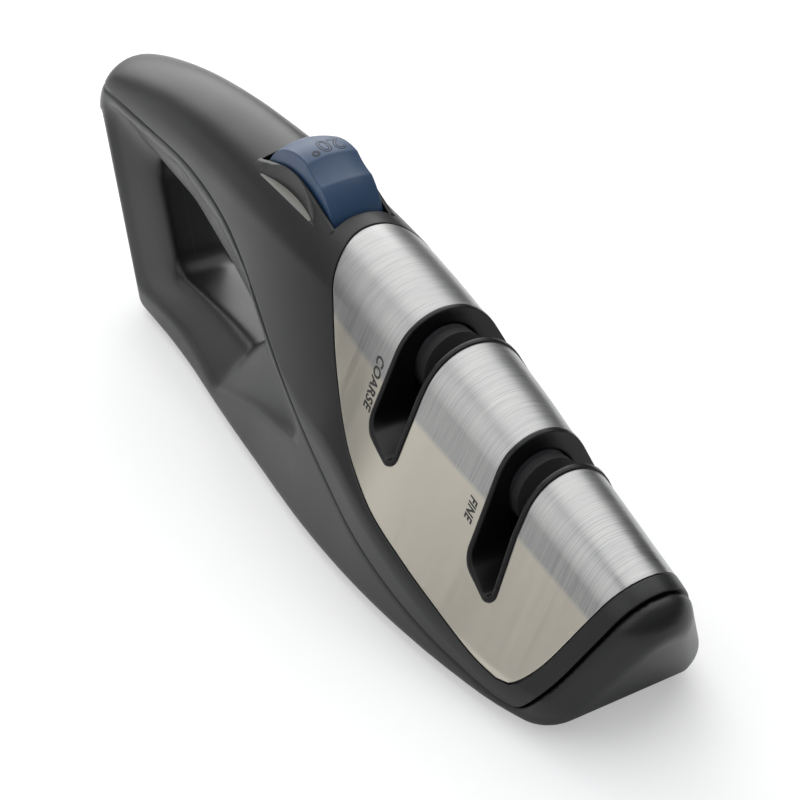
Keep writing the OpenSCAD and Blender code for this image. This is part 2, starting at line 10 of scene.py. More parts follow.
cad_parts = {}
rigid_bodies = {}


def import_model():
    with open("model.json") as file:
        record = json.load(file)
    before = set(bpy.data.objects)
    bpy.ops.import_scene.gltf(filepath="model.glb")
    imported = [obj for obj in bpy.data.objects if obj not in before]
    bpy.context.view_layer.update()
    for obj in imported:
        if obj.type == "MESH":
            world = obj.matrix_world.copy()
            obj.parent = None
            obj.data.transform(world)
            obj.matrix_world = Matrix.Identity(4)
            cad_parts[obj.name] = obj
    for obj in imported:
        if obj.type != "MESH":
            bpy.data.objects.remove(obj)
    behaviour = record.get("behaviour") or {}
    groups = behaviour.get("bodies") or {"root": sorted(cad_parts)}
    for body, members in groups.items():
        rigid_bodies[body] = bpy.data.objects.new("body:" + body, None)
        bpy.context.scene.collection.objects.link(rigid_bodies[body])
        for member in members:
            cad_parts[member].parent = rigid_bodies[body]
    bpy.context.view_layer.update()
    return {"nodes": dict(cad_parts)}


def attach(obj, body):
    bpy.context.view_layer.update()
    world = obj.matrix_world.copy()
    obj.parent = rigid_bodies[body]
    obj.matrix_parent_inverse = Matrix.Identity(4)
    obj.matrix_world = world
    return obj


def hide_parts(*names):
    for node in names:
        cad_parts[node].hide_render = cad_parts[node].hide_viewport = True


for old in list(bpy.data.objects):
    bpy.data.objects.remove(old)
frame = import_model()


MM = 0.001

# ---------------------------------------------------------------- housing form, in millimetres
# sections: station, ridge height, ridge radius, half width and height at the shoulder, half width at the
# base, and how far each section leans
SEC_X = np.array([
    -98.5, -87.5, -71.5, -56.5, -41.5, -26.5, -11.5, 3.5, 15.5, 28.5, 43.5, 58.5, 73.5, 86.5, 99.5])
SEC_H = np.array([60, 66, 70.6, 72.2, 72, 71, 69.4, 67.2, 64.8, 61.6, 57.3, 52.5, 46.9, 38.8, 31.5])
SEC_R = np.array([11.2, 11.6, 12, 12.4, 13, 13.8, 14.4, 14.6, 14.5, 14.1, 13.2, 12.2, 11.2, 10.6, 10.4])
SEC_W = 26.5 * np.array(
    [0.408, 0.426, 0.445, 0.468, 0.506, 0.577, 0.694, 0.815, 0.891, 0.947, 1, 0.981, 0.921, 0.838, 0.702])
SEC_S = np.array([49, 55, 57.5, 57.5, 54, 49, 42, 35.5, 32, 30, 24.5, 17.5, 12, 9, 8.5])
SEC_B = 26.5 * np.array(
    [0.362, 0.392, 0.445, 0.521, 0.619, 0.709, 0.785, 0.86, 0.913, 0.951, 0.966, 0.951, 0.906, 0.83, 0.664])
SEC_K = np.array([-0.27, -0.22, -0.12, -0.04, 0, 0, 0, 0, 0, 0, 0, 0, 0, 0.25, 0.5])
# height of the base over the floor, and the radii at the shoulder, the base, the rear end and the nose
Z0, R_M, R_B, R_REAR, R_NOSE = 0.8, 9.0, 3.5, 9.2, 6.5
WALL = 2.3
# how far the steel lies below the housing's outside, its sheet thickness, and the liners' rims above it
STEEL_INSET, STEEL_T, RIM_OUT = 0.08, 0.6, 0.22
# how far the printed words lie below the housing's outside
INK_INSET = 0.06
# x and z of the two axles
COARSE_AXLE, FINE_AXLE = (40.6, 48.4), (74.1, 36.5)
SHELL_SCREWS = ((16, 16), (16, -16), (90, 9.5), (90, -9.5))


def table(v, s, deriv=False):
    """Value, or slope, of a section table at s, as a smooth curve through the sections."""
    x = SEC_X
    m = np.empty(len(v))
    m[1:-1] = (v[2:] - v[:-2]) / (x[2:] - x[:-2])
    m[0], m[-1] = (v[1] - v[0]) / (x[1] - x[0]), (v[-1] - v[-2]) / (x[-1] - x[-2])
    s = np.clip(np.asarray(s, float), x[0], x[-1])
    i = np.clip(np.searchsorted(x, s, side="right") - 1, 0, len(x) - 2)
    h = x[i + 1] - x[i]
    t = (s - x[i]) / h
    if deriv:
        return ((6 * t**2 - 6 * t) * v[i] / h + (3 * t**2 - 4 * t + 1) * m[i]
                + (6 * t - 6 * t**2) * v[i + 1] / h + (3 * t**2 - 2 * t) * m[i + 1])
    return ((2 * t**3 - 3 * t**2 + 1) * v[i] + (t**3 - 2 * t**2 + t) * h * m[i]
            + (3 * t**2 - 2 * t**3) * v[i + 1] + (t**3 - t**2) * h * m[i + 1])


def section(s):
    """Arc centres and angles of the section at s: ridge arc, shoulder fillet, bottom fillet."""
    H, R, W, S, B = (table(v, s) for v in (SEC_H, SEC_R, SEC_W, SEC_S, SEC_B))
    cz = H - R
    dy, dz = W, S - cz
    th = np.arctan2(dz, dy) + np.arccos(np.minimum(1, R / np.hypot(dy, dz)))
    n1 = np.cos(th), np.sin(th)
    ey, ez = W - B, S - Z0
    n = np.hypot(ey, ez)
    n2 = ez / n, -ey / n
    a2 = np.arctan2(n2[1], n2[0])
    q = 1 + n1[0] * n2[0] + n1[1] * n2[1]
    my, mz = W - R_M * (n1[0] + n2[0]) / q, S - R_M * (n1[1] + n2[1]) / q
    q = 1 - n2[1]
    by, bz = B - R_B * n2[0] / q, Z0 - R_B * (n2[1] - 1) / q
    return dict(R=R, cz=cz, th=th, n1=n1, n2=n2, a2=a2, my=my, mz=mz, by=by, bz=bz)


def section_distance(s, y, z):
    """Signed distance to the section's outline, negative inside."""
    y = np.abs(y)
    p = section(s)
    big = 1e6
    (n1y, n1z), (n2y, n2z) = p["n1"], p["n2"]
    best = np.full(np.broadcast(s, y, z).shape, -40.0)
    have = np.full(best.shape, big)

    def offer(d, valid):
        nonlocal best, have
        take = valid & (np.abs(d) < have)
        best = np.where(take, d, best)
        have = np.where(take, np.abs(d), have)

    vz = z - p["cz"]
    offer(np.hypot(y, vz) - p["R"], np.arctan2(vz, y) >= p["th"])
    u = y * n1z - vz * n1y
    length = p["my"] * n1z - (p["mz"] - p["cz"]) * n1y
    offer(y * n1y + vz * n1z - p["R"], (u >= 0) & (u <= length))
    wy, wz = y - p["my"], z - p["mz"]
    a = np.arctan2(wz, wy)
    offer(np.hypot(wy, wz) - R_M, (a <= p["th"]) & (a >= p["a2"]))
    u = wy * n2z - wz * n2y
    length = (p["by"] - p["my"]) * n2z - (p["bz"] - p["mz"]) * n2y
    offer(wy * n2y + wz * n2z - R_M, (u >= 0) & (u <= length))
    by, bz = y - p["by"], z - p["bz"]
    a = np.arctan2(bz, by)
    offer(np.hypot(by, bz) - R_B, (a <= p["a2"]) & (a >= -math.pi / 2))
    offer(Z0 - z + 0 * y, y <= p["by"])
    return best


def rounded_and(u, v, r):
    return np.minimum(np.maximum(u, v), -r) + np.hypot(np.maximum(u + r, 0), np.maximum(v + r, 0))


def body_distance(s, y, z):
    """Signed distance to the housing's outside, in the leaning section's own place."""
    d = section_distance(s, y, z)
    d = rounded_and(d, SEC_X[0] - s, R_REAR)
    return rounded_and(d, s - SEC_X[-1], R_NOSE)


def station(x, z):
    s = np.array(x, float)
    for _ in range(12):
        k, dk = table(SEC_K, s), table(SEC_K, s, True)
        s = s - np.clip((s + k * z - x) / np.maximum(1 + dk * z, 0.3), -8, 8)
    return s


def body_at(p):
    return body_distance(station(p[:, 0], p[:, 2]), p[:, 1], p[:, 2])


def body_normals(p, e=0.04):
    g = np.stack([body_at(p + e * np.eye(3)[i]) - body_at(p - e * np.eye(3)[i]) for i in range(3)], 1)
    return g / np.maximum(np.linalg.norm(g, axis=1, keepdims=True), 1e-9)


def ring(s, t, na=26, nl=10, nm=12, nf=12, nb=7, nu=8):
    """Closed ring of the section at s, inset by t."""
    u = max(R_REAR - t, 0.05)
    d = max(SEC_X[0] + t + u - s, 0)
    t2 = t + u - math.sqrt(max(u * u - d * d, 0)) if d > 0 else t
    u = max(R_NOSE - t, 0.05)
    d = max(s - (SEC_X[-1] - t - u), 0)
    t2 = max(t2, t + u - math.sqrt(max(u * u - d * d, 0)) if d > 0 else t)
    p = section(np.float64(s))
    th, a2 = float(p["th"]), float(p["a2"])

    def arc(cy, cz, r, a0, a1, n):
        a = np.linspace(a0, a1, n)
        return np.stack([cy + max(r, 0.2) * np.cos(a), cz + max(r, 0.2) * np.sin(a)], 1)

    def corner(cy, cz, r, a0, a1, n):
        # an inset past the fillet's own radius moves its centre in along the corner's bisector
        over = max(t2 - r + 0.2, 0)
        m = (a0 + a1) / 2
        f = over / max(math.cos((a0 - a1) / 2), 0.2)
        return arc(cy - f * math.cos(m), cz - f * math.sin(m), r - t2, a0, a1, n)

    top = arc(0, p["cz"], p["R"] - t2, math.pi / 2, th, na)
    mid = corner(p["my"], p["mz"], R_M, th, a2, nm)
    low = corner(p["by"], p["bz"], R_B, a2, -math.pi / 2, nb)

    def span(a, b, n):
        w = np.linspace(0, 1, n + 2)[1:-1, None]
        return a + (b - a) * w

    end = np.array([0.0, low[-1, 1]])
    half = np.concatenate([top, span(top[-1], mid[0], nl), mid, span(mid[-1], low[0], nf), low,
                           span(low[-1], end, nu), end[None]])
    k = float(table(SEC_K, s))
    right = np.stack([s + k * half[:, 1], half[:, 0], half[:, 1]], 1)
    left = right[1:-1][::-1] * [1, -1, 1]
    return np.concatenate([right, left])


def stations(t, n):
    a, b = SEC_X[0] + t, SEC_X[0] + R_REAR
    c, d = SEC_X[-1] - R_NOSE, SEC_X[-1] - t
    rear = b - (b - a) * np.cos(np.linspace(0, math.pi / 2, 13))[:-1]
    front = c + (d - c) * np.sin(np.linspace(0, math.pi / 2, 12))[1:]
    return np.concatenate([rear, np.linspace(b, c, n), front])


def loft(t, n=190, **kw):
    rings = [ring(s, t, **kw) for s in stations(t, n)]
    m, k = len(rings), len(rings[0])
    v = np.concatenate(rings + [rings[0].mean(0)[None], rings[-1].mean(0)[None]])
    j, i = np.meshgrid(np.arange(m - 1), np.arange(k), indexing="ij")
    j, i = j.ravel(), i.ravel()
    nx = (i + 1) % k
    quads = np.stack([j * k + i, (j + 1) * k + i, (j + 1) * k + nx, j * k + nx], 1)
    faces = [tuple(q) for q in quads]
    faces += [(b, (b + 1) % k, m * k) for b in range(k)]
    faces += [((m - 1) * k + (b + 1) % k, (m - 1) * k + b, m * k + 1) for b in range(k)]
    return v, faces


def rounded(points, n=6):
    """Outline with rounded corners; each point is x, z, radius."""
    p = np.array([q[:2] for q in points], float)
    out = []
    for i, (_, _, r) in enumerate(points):
        a, b, c = p[i - 1], p[i], p[(i + 1) % len(p)]
        u, v = (a - b) / np.linalg.norm(a - b), (c - b) / np.linalg.norm(c - b)
        half = math.acos(max(-1, min(1, float(u @ v)))) / 2
        w = (u + v) / max(np.linalg.norm(u + v), 1e-9)
        q = b + w * r / math.sin(half)
        f, g = b + u * r / math.tan(half) - q, b + v * r / math.tan(half) - q
        g1, g2 = math.atan2(f[1], f[0]), math.atan2(g[1], g[0])
        d = (g2 - g1 + 3 * math.pi) % (2 * math.pi) - math.pi
        out += [q + r * np.array([math.cos(g1 + d * k / n), math.sin(g1 + d * k / n)]) for k in range(n + 1)]
    return np.array(out)


def smooth(points, n=8):
    p = np.array(points, float)
    m = len(p) - 1
    out = []
    for i in range(m):
        a, b, c, d = p[max(i - 1, 0)], p[i], p[i + 1], p[min(i + 2, m)]
        for k in range(n):
            t = k / n
            out.append(0.5 * (2 * b + (c - a) * t + (2 * a - 5 * b + 4 * c - d) * t**2
                              + (3 * b - 3 * c + d - a) * t**3))
    return np.array(out + [p[m]])


# line between the lower frame and the upper shell, as x and z
PARTING = smooth([
    (-120, 58.5), (-96, 59.8), (-75, 59.8), (-57, 59.1), (-45, 57.1), (-33, 53.6), (-22, 48.6), (-9, 41.8),
    (3, 35.8), (14, 30.7), (27, 24), (40, 17.4), (55, 11.6), (68, 8.1), (80, 6.2), (90, 5), (94.4, 6.4),
    (99.2, 13.2), (103.6, 23.2), (108.6, 35.4), (113, 46)])


# closes an outline of what lies over the parting line
OVERHEAD = [(113, 95), (-120, 95)]


def leaf(g):
    """Side outline of the steel, or of its recess with a gap g all round."""
    low = smooth([
        (7.2 - g, 80), (7.2 - g, 70), (7.3 - g, 66.6), (9.4 - g, 63), (13 - g, 56.6 - g / 2),
        (20.5 - g / 2, 46 - g), (31.5, 35.5 - g), (41, 29 - g), (51, 23.3 - g), (67.5, 15.9 - g),
        (80, 11.2 - g), (87.6, 9.5 - g)])
    high = smooth([
        (90.6 + g / 2, 9.9 - g), (93 + g, 12 - g), (96.3 + g, 17), (100.6 + g, 27), (103.9 + g, 34.6),
        (108 + g, 44), (122, 80)])
    return np.concatenate([low, high])


COARSE = [(34.5, 80), (34.9, 57), (36.3, 38.6), (47.4, 33.2), (46, 48), (45.6, 80)]
FINE = [(68.8, 80), (68.9, 46), (70.6, 25.6), (81, 19.4), (79.3, 34), (78.6, 80)]


def slot(p, g):
    """Side outline of a slot, wider by g all round."""
    return rounded([
        (p[0][0] - g, p[0][1], 0.5), (p[1][0] - g, p[1][1], 4), (p[2][0] - g, p[2][1] - g, 6.0 + g),
        (p[3][0] + g, p[3][1] - g, 1.7 + g / 2), (p[4][0] + g, p[4][1], 4), (p[5][0] + g, p[5][1], 0.5)], 10)


# finger loop: its corners at the rim and at the throat, how far from the middle plane the flare ends,
# where it starts on the near and on the far side, and the corners' radii
LOOP_OUT = np.array([(-104.6, 58.0), (-58, 57.0), (-38, 53.4), (-20, 46.0), (19, 25), (-40, 5.6), (-95, 6.0)])
LOOP_IN = np.array([(-88, 50), (-60, 45.5), (-45, 40), (-31.5, 35), (-22.5, 27.8), (-34, 17.6), (-78, 17)])
LOOP_REACH = np.array([11.5, 12.6, 14.5, 16.5, 24, 18, 11])
LOOP_NEAR = np.array([5, 7, 8, 9, 8, 6.5, 5])
LOOP_FAR = np.array([9, 9, 10.5, 12.5, 16, 12.5, 9])
LOOP_R = [6, 20, 20, 6, 3, 6, 6]


def loop_outline(y):
    """Side outline of the finger loop at a distance y from the middle plane."""
    flat = LOOP_NEAR if y < 0 else LOOP_FAR
    t = np.clip((abs(y) - flat) / (LOOP_REACH - flat), 0, 1)
    g = t * t * (3 - 2 * t)
    q = LOOP_OUT + (LOOP_IN - LOOP_OUT) * (1 - g)[:, None]
    return rounded([(a, b, r) for (a, b), r in zip(q, LOOP_R)], 8)


def outline_distance(poly, x, z):
    """Signed distance to a closed outline, negative inside."""
    px, pz = x.ravel(), z.ravel()
    best = np.full(px.shape, 1e9)
    inside = np.zeros(px.shape, bool)
    a = poly
    b = np.roll(poly, -1, 0)
    for (ax, az), (bx, bz) in zip(a, b):
        dx, dz = bx - ax, bz - az
        q = dx * dx + dz * dz
        if q < 1e-12:
            continue
        t = np.clip(((px - ax) * dx + (pz - az) * dz) / q, 0, 1)
        best = np.minimum(best, (px - ax - t * dx) ** 2 + (pz - az - t * dz) ** 2)
        if az != bz:
            hit = ((az > pz) != (bz > pz)) & (px < (bx - ax) * (pz - az) / (bz - az) + ax)
            inside ^= hit
    d = np.sqrt(best)
    return np.where(inside, -d, d).reshape(x.shape)


# side outlines of the hollow in the lower frame and in the upper shell
HOLLOW = np.array([
    (-23, 46.8), (-10, 42.6), (0, 38.2), (8, 34.6), (12, 31.2), (12, 4.3), (120, 4.3), (120, 90), (-23, 90)])
HOLLOW_TOP = np.array([(-103, 55.8), (-45, 54.8), (-33, 51.2), (-22, 47), (-10, 42.6), (0, 38.2), (8, 34.6),
                       (12, 31.2), (12, 4.3), (120, 4.3), (120, 90), (-103, 90)])


# ---------------------------------------------------------------- mesh helpers
def new_object(name, verts, faces):
    me = bpy.data.meshes.new(name)
    me.from_pydata((np.asarray(verts) * MM).tolist(), [], [tuple(int(i) for i in f) for f in faces])
    me.validate()
    o = bpy.data.objects.new(name, me)
    bpy.context.scene.collection.objects.link(o)
    return o


def prism(name, poly, y0=-45.0, y1=45.0):
    n = len(poly)
    v = np.concatenate([np.insert(poly, 1, y0, 1), np.insert(poly, 1, y1, 1)])
    faces = [tuple(range(n)), tuple(range(2 * n - 1, n - 1, -1))]
    faces += [(i, i + n, (i + 1) % n + n, (i + 1) % n) for i in range(n)]
    area = 0.5 * np.sum(poly[:, 0] * np.roll(poly[:, 1], -1) - np.roll(poly[:, 0], -1) * poly[:, 1])
    if area < 0:
        faces = [f[::-1] for f in faces]
    return new_object(name, v, faces)


def tube(name, p, axis, r, length, n=96):
    """Closed cylinder from p along a row axis."""
    a = np.linspace(0, 2 * math.pi, n, endpoint=False)
    c, s, z = r * np.cos(a), r * np.sin(a), np.zeros(n)
    base = {"x": np.stack([z, c, s], 1), "y": np.stack([s, z, c], 1), "z": np.stack([c, s, z], 1)}[axis]
    step = {"x": [length, 0, 0], "y": [0, length, 0], "z": [0, 0, length]}[axis]
    v = np.concatenate([base, base + step]) + np.array(p, float)
    faces = [tuple(range(n))[::-1], tuple(range(n, 2 * n))]
    faces += [(i, (i + 1) % n, (i + 1) % n + n, i + n) for i in range(n)]
    return new_object(name, v, faces)


def brick(name, lo, hi):
    v = [(x, y, z) for x in (lo[0], hi[0]) for y in (lo[1], hi[1]) for z in (lo[2], hi[2])]
    f = [(0, 1, 3, 2), (4, 6, 7, 5), (0, 4, 5, 1), (2, 3, 7, 6), (0, 2, 6, 4), (1, 5, 7, 3)]
    return new_object(name, np.array(v, float), f)


def drop(o):
    me = o.data
    bpy.data.objects.remove(o)
    bpy.data.meshes.remove(me)


def combine(base, others, op):
    """Applies one boolean per other object to base, and drops the others."""
    for o in others:
        m = base.modifiers.new("cut", "BOOLEAN")
        m.operation, m.object, m.solver = op, o, "MANIFOLD"
        bpy.context.view_layer.update()
        me = bpy.data.meshes.new_from_object(base.evaluated_get(bpy.context.evaluated_depsgraph_get()))
        base.modifiers.clear()
        old, base.data = base.data, me
        bpy.data.meshes.remove(old)
        drop(o)
    base.data.name = base.name
    return base


def shade(o, normal_at=None, angle=32, follow=22, level=None):
    """Smooth shading with sharp edges by angle; faces that lie along the form take the form's own normals.

    With a level, only faces at that height over the housing's outside do.
    """
    me = o.data
    me.shade_smooth()
    me.set_sharp_from_angle(angle=math.radians(angle))
    if normal_at is None:
        return o
    nl = len(me.loops)
    corner = np.empty(nl * 3, np.float32)
    me.corner_normals.foreach_get("vector", corner)
    corner = corner.reshape(-1, 3).copy()
    vi = np.empty(nl, np.int32)
    me.loops.foreach_get("vertex_index", vi)
    co = np.empty(len(me.vertices) * 3, np.float32)
    me.vertices.foreach_get("co", co)
    form = normal_at(co.reshape(-1, 3).astype(float) / MM)
    fn = np.empty(len(me.polygons) * 3, np.float32)
    me.polygons.foreach_get("normal", fn)
    total = np.empty(len(me.polygons), np.int32)
    me.polygons.foreach_get("loop_total", total)
    face = np.repeat(fn.reshape(-1, 3), total, 0)
    d = np.einsum("ij,ij->i", face, form[vi])
    c = math.cos(math.radians(follow))
    there = np.ones(nl, bool)
    if level is not None:
        start = np.empty(len(me.polygons), np.int32)
        me.polygons.foreach_get("loop_start", start)
        on = np.abs(body_at(co.reshape(-1, 3).astype(float) / MM) - level) < 0.04
        there = np.repeat(np.logical_and.reduceat(on[vi], start), total)
    corner[there & (d > c)] = form[vi][there & (d > c)]
    corner[there & (d < -c)] = -form[vi][there & (d < -c)]
    me.normals_split_custom_set(corner.tolist())
    return o


# ---------------------------------------------------------------- lower frame, as a smooth field
def surface_nets(f, origin, h):
    """Quad surface of f = 0 on a grid, negative inside."""
    s = f < 0
    nx, ny, nz = f.shape
    total = np.zeros((nx - 1, ny - 1, nz - 1, 3))
    count = np.zeros((nx - 1, ny - 1, nz - 1))
    corner = [(a, b, c) for a in (0, 1) for b in (0, 1) for c in (0, 1)]

    def at(a, v=f):
        return v[a[0]:nx - 1 + a[0], a[1]:ny - 1 + a[1], a[2]:nz - 1 + a[2]]

    for a in corner:
        for ax in range(3):
            if a[ax]:
                continue
            b = list(a)
            b[ax] = 1
            fa, fb = at(a), at(b)
            cross = (fa < 0) != (fb < 0)
            t = np.where(cross, fa / np.where(cross, fa - fb, 1), 0)
            for k in range(3):
                total[..., k] += np.where(cross, a[k] + (t if k == ax else 0), 0)
            count += cross
    used = count > 0
    index = np.full(used.shape, -1)
    index[used] = np.arange(used.sum())
    cell = np.argwhere(used)
    verts = np.array(origin) + h * (cell + total[used] / count[used][:, None])
    quads = []
    for ax in range(3):
        b = [slice(None)] * 3
        c = [slice(None)] * 3
        b[ax], c[ax] = slice(0, -1), slice(1, None)
        lo, hi = s[tuple(b)], s[tuple(c)]
        e = np.argwhere(lo != hi)
        u, v = (ax + 1) % 3, (ax + 2) % 3
        shape = np.array(used.shape)
        ok = (e[:, u] > 0) & (e[:, v] > 0) & (e[:, u] < shape[u]) & (e[:, v] < shape[v])
        e = e[ok]
        grow = lo[tuple(e.T)]
        out = []
        for du, dv in ((-1, -1), (0, -1), (0, 0), (-1, 0)):
            q = e.copy()
            q[:, u] += du
            q[:, v] += dv
            out.append(index[tuple(q.T)])
        q = np.stack(out, 1)
        q[~grow] = q[~grow][:, ::-1]
        quads.append(q)
    return verts, np.concatenate(quads)


class Field:
    """Sampled field on a grid in station, y and z, with its value and slope at any point."""

    def __init__(self, f, origin, h):
        self.f, self.origin, self.h = f, np.array(origin, float), h
        self.g = [a.astype(np.float32) for a in np.gradient(f, h)]

    def sample(self, v, p):
        q = (p - self.origin) / self.h
        i = np.clip(q.astype(int), 0, np.array(v.shape) - 2)
        t = np.clip(q - i, 0, 1)
        out = 0
        for a in (0, 1):
            for b in (0, 1):
                for c in (0, 1):
                    w = (t[:, 0] if a else 1 - t[:, 0]) * (t[:, 1] if b else 1 - t[:, 1]) * (
                        t[:, 2] if c else 1 - t[:, 2])
                    out = out + w * v[i[:, 0] + a, i[:, 1] + b, i[:, 2] + c]
        return out

    def slope(self, p):
        return np.stack([self.sample(g, p) for g in self.g], 1)

    def settle(self, p, steps=2):
        for _ in range(steps):
            g = self.slope(p)
            d = self.sample(self.f, p) / np.maximum((g**2).sum(1), 0.05)
            p = p - np.clip(d, -0.35 * self.h, 0.35 * self.h)[:, None] * g
        return p

    def normals(self, p):
        """Outward normals at real points."""
        s = station(p[:, 0], p[:, 2])
        g = self.slope(np.stack([s, p[:, 1], p[:, 2]], 1))
        k, dk = table(SEC_K, s), table(SEC_K, s, True)
        q = 1 + dk * p[:, 2]
        n = np.stack([g[:, 0] / q, g[:, 1], g[:, 2] - g[:, 0] * k / q], 1)
        return n / np.maximum(np.linalg.norm(n, axis=1, keepdims=True), 1e-9)


def soft_max(a, b, k):
    h = np.maximum(k - np.abs(a - b), 0)
    return np.maximum(a, b) + h * h / (4 * k)


PITCH = 0.72


def blurred(a, times):
    """Softens a field's creases."""
    for _ in range(times):
        for axis in range(3):
            b = np.pad(a, [(1, 1) if k == axis else (0, 0) for k in range(3)], mode="edge")
            n = a.shape[axis]
            lo, mid, hi = (np.take(b, range(k, k + n), axis) for k in range(3))
            a = (lo + 2 * mid + hi) / 4
    return a


# the CAD's box, which the frame's smooth field may pass by hundredths
FRAME_BOX = (-112.49, -26.426, Z0), (112.62, 26.426, 77)


def lower_frame():
    """Mesh of the lower frame, and the field that it follows."""
    h = PITCH
    xs = np.arange(-101, 102.5, h)
    ys = np.arange(-29.0, 29.0 + h, h)
    ys = (np.arange(len(ys)) - (len(ys) - 1) / 2) * h
    zs = np.arange(-1.4, 62, h)
    half = ys >= -1e-6
    S, Y, Z = np.meshgrid(xs, ys[half], zs, indexing="ij")
    body = body_distance(S, Y, Z)
    S2, Z2 = np.meshgrid(xs, zs, indexing="ij")
    X2 = S2 + table(SEC_K, S2) * Z2
    above = outline_distance(np.concatenate([PARTING, OVERHEAD]), X2, Z2)
    loop = np.stack([outline_distance(loop_outline(y), X2, Z2) for y in ys], 1)
    g = np.gradient(loop, h)
    steep = np.sqrt(g[0] ** 2 + g[1] ** 2 + g[2] ** 2)
    loop = loop / np.clip(steep, 1, 2.5)
    # the throat is a little narrower near the middle plane, so that no background shows through it
    throat = 0.5 * np.clip(1.6 - np.abs(ys) / 9, 0, 1)[None, :, None]
    loop = soft_max(blurred(loop, round(5 * (0.72 / h) ** 2)), loop - 0.15, 0.3) + throat
    f = soft_max(body, (0.13 - above)[:, None, :] + 0 * body, 1.5)
    hollow = np.maximum(body + WALL, outline_distance(HOLLOW, X2, Z2)[:, None, :] + 0 * body)
    channel = np.maximum.reduce([np.abs(X2 + 4.5)[:, None, :] - 17 + 0 * body, Y - 5, 43.6 - Z])
    inner = -np.minimum(hollow, channel)

    def whole(a):
        return np.concatenate([a[:, ::-1][:, :-1 if abs(ys[half][0]) < 1e-6 else None], a], 1)

    full = soft_max(whole(f), -loop, 0.9)
    full = np.maximum(full, whole(inner)).astype(np.float32)
    origin = (xs[0], ys[0], zs[0])
    field = Field(full, origin, h)
    v, q = surface_nets(full, origin, h)
    v = field.settle(v)
    v[:, 0] += table(SEC_K, v[:, 0]) * v[:, 2]
    v = np.clip(v, *FRAME_BOX)
    return new_object("frame_lower", v, q), field


def add_depth(o):
    """Depth below the housing's outside, in millimetres, kept at each vertex for the looks."""
    me = o.data
    co = np.empty(len(me.vertices) * 3, np.float32)
    me.vertices.foreach_get("co", co)
    d = -body_at(co.reshape(-1, 3).astype(float) / MM)
    me.attributes.new("depth", "FLOAT", "POINT").data.foreach_set("value", d.astype(np.float32))


# ---------------------------------------------------------------- materials
class Mat:
    def __init__(self, name):
        self.m = bpy.data.materials.new(name)
        self.m.use_nodes = True
        self.t = self.m.node_tree
        self.b = self.t.nodes["Principled BSDF"]

    def node(self, kind, **inputs):
        n = self.t.nodes.new("ShaderNode" + kind)
        for k, v in inputs.items():
            if hasattr(n, k) and not k[0].isupper():
                setattr(n, k, v)
            else:
                self.set(n.inputs[k.replace("_", " ")], v)
        return n

    def set(self, socket, v):
        if isinstance(v, bpy.types.NodeSocket):
            self.t.links.new(v, socket)
        else:
            socket.default_value = v

    def coords(self, scale=(1, 1, 1)):
        c = self.t.nodes.new("ShaderNodeTexCoord")
        m = self.t.nodes.new("ShaderNodeMapping")
        m.inputs["Scale"].default_value = scale
        self.t.links.new(c.outputs["Object"], m.inputs["Vector"])
        return m.outputs["Vector"]

    def noise(self, scale, detail=2.0, rough=0.5, stretch=(1, 1, 1)):
        n = self.node("TexNoise", Scale=scale, Detail=detail, Roughness=rough)
        self.t.links.new(self.coords(stretch), n.inputs["Vector"])
        return n.outputs["Fac"]

    def ramp(self, fac, stops):
        n = self.t.nodes.new("ShaderNodeValToRGB")
        self.t.links.new(fac, n.inputs["Fac"])
        e = n.color_ramp.elements
        while len(e) < len(stops):
            e.new(0.5)
        for el, (pos, col) in zip(e, stops):
            el.position = pos
            el.color = (*col, 1) if isinstance(col, tuple) else (col, col, col, 1)
        return n.outputs["Color"]

    def divide(self, a, b):
        n = self.node("Math", operation="DIVIDE")
        self.set(n.inputs[0], a)
        n.inputs[1].default_value = b
        return n.outputs[0]

    def blend(self, fac, a, b):
        n = self.t.nodes.new("ShaderNodeMix")
        n.data_type = "RGBA"
        self.set(n.inputs["Factor"], fac)
        self.set(n.inputs[6], a)
        self.set(n.inputs[7], b)
        return n.outputs[2]

    def times(self, a, b):
        n = self.t.nodes.new("ShaderNodeMix")
        n.data_type, n.blend_type = "RGBA", "MULTIPLY"
        n.inputs["Factor"].default_value = 1.0
        self.set(n.inputs[6], a)
        self.set(n.inputs[7], b)
        return n.outputs[2]

    def span(self, fac, lo, hi):
        n = self.node("MapRange", **{"Value": fac, "To Min": lo, "To Max": hi})
        return n.outputs["Result"]

    def bump(self, height, distance, strength=1.0, edge=None):
        n = self.t.nodes.new("ShaderNodeBump")
        n.inputs["Strength"].default_value = strength
        n.inputs["Distance"].default_value = distance
        self.t.links.new(height, n.inputs["Height"])
        if edge:
            b = self.t.nodes.new("ShaderNodeBevel")
            b.samples = 6
            b.inputs["Radius"].default_value = edge
            self.t.links.new(b.outputs["Normal"], n.inputs["Normal"])
        self.t.links.new(n.outputs["Normal"], self.b.inputs["Normal"])

    def put(self, **kw):
        for k, v in kw.items():
            self.set(self.b.inputs[k.replace("_", " ")], v)


def grey(v):
    """Linear value of an 8-bit grey."""
    c = v / 255
    return c / 12.92 if c <= 0.04045 else ((c + 0.055) / 1.055) ** 2.4


def rgb(r, g, b):
    return (grey(r), grey(g), grey(b))


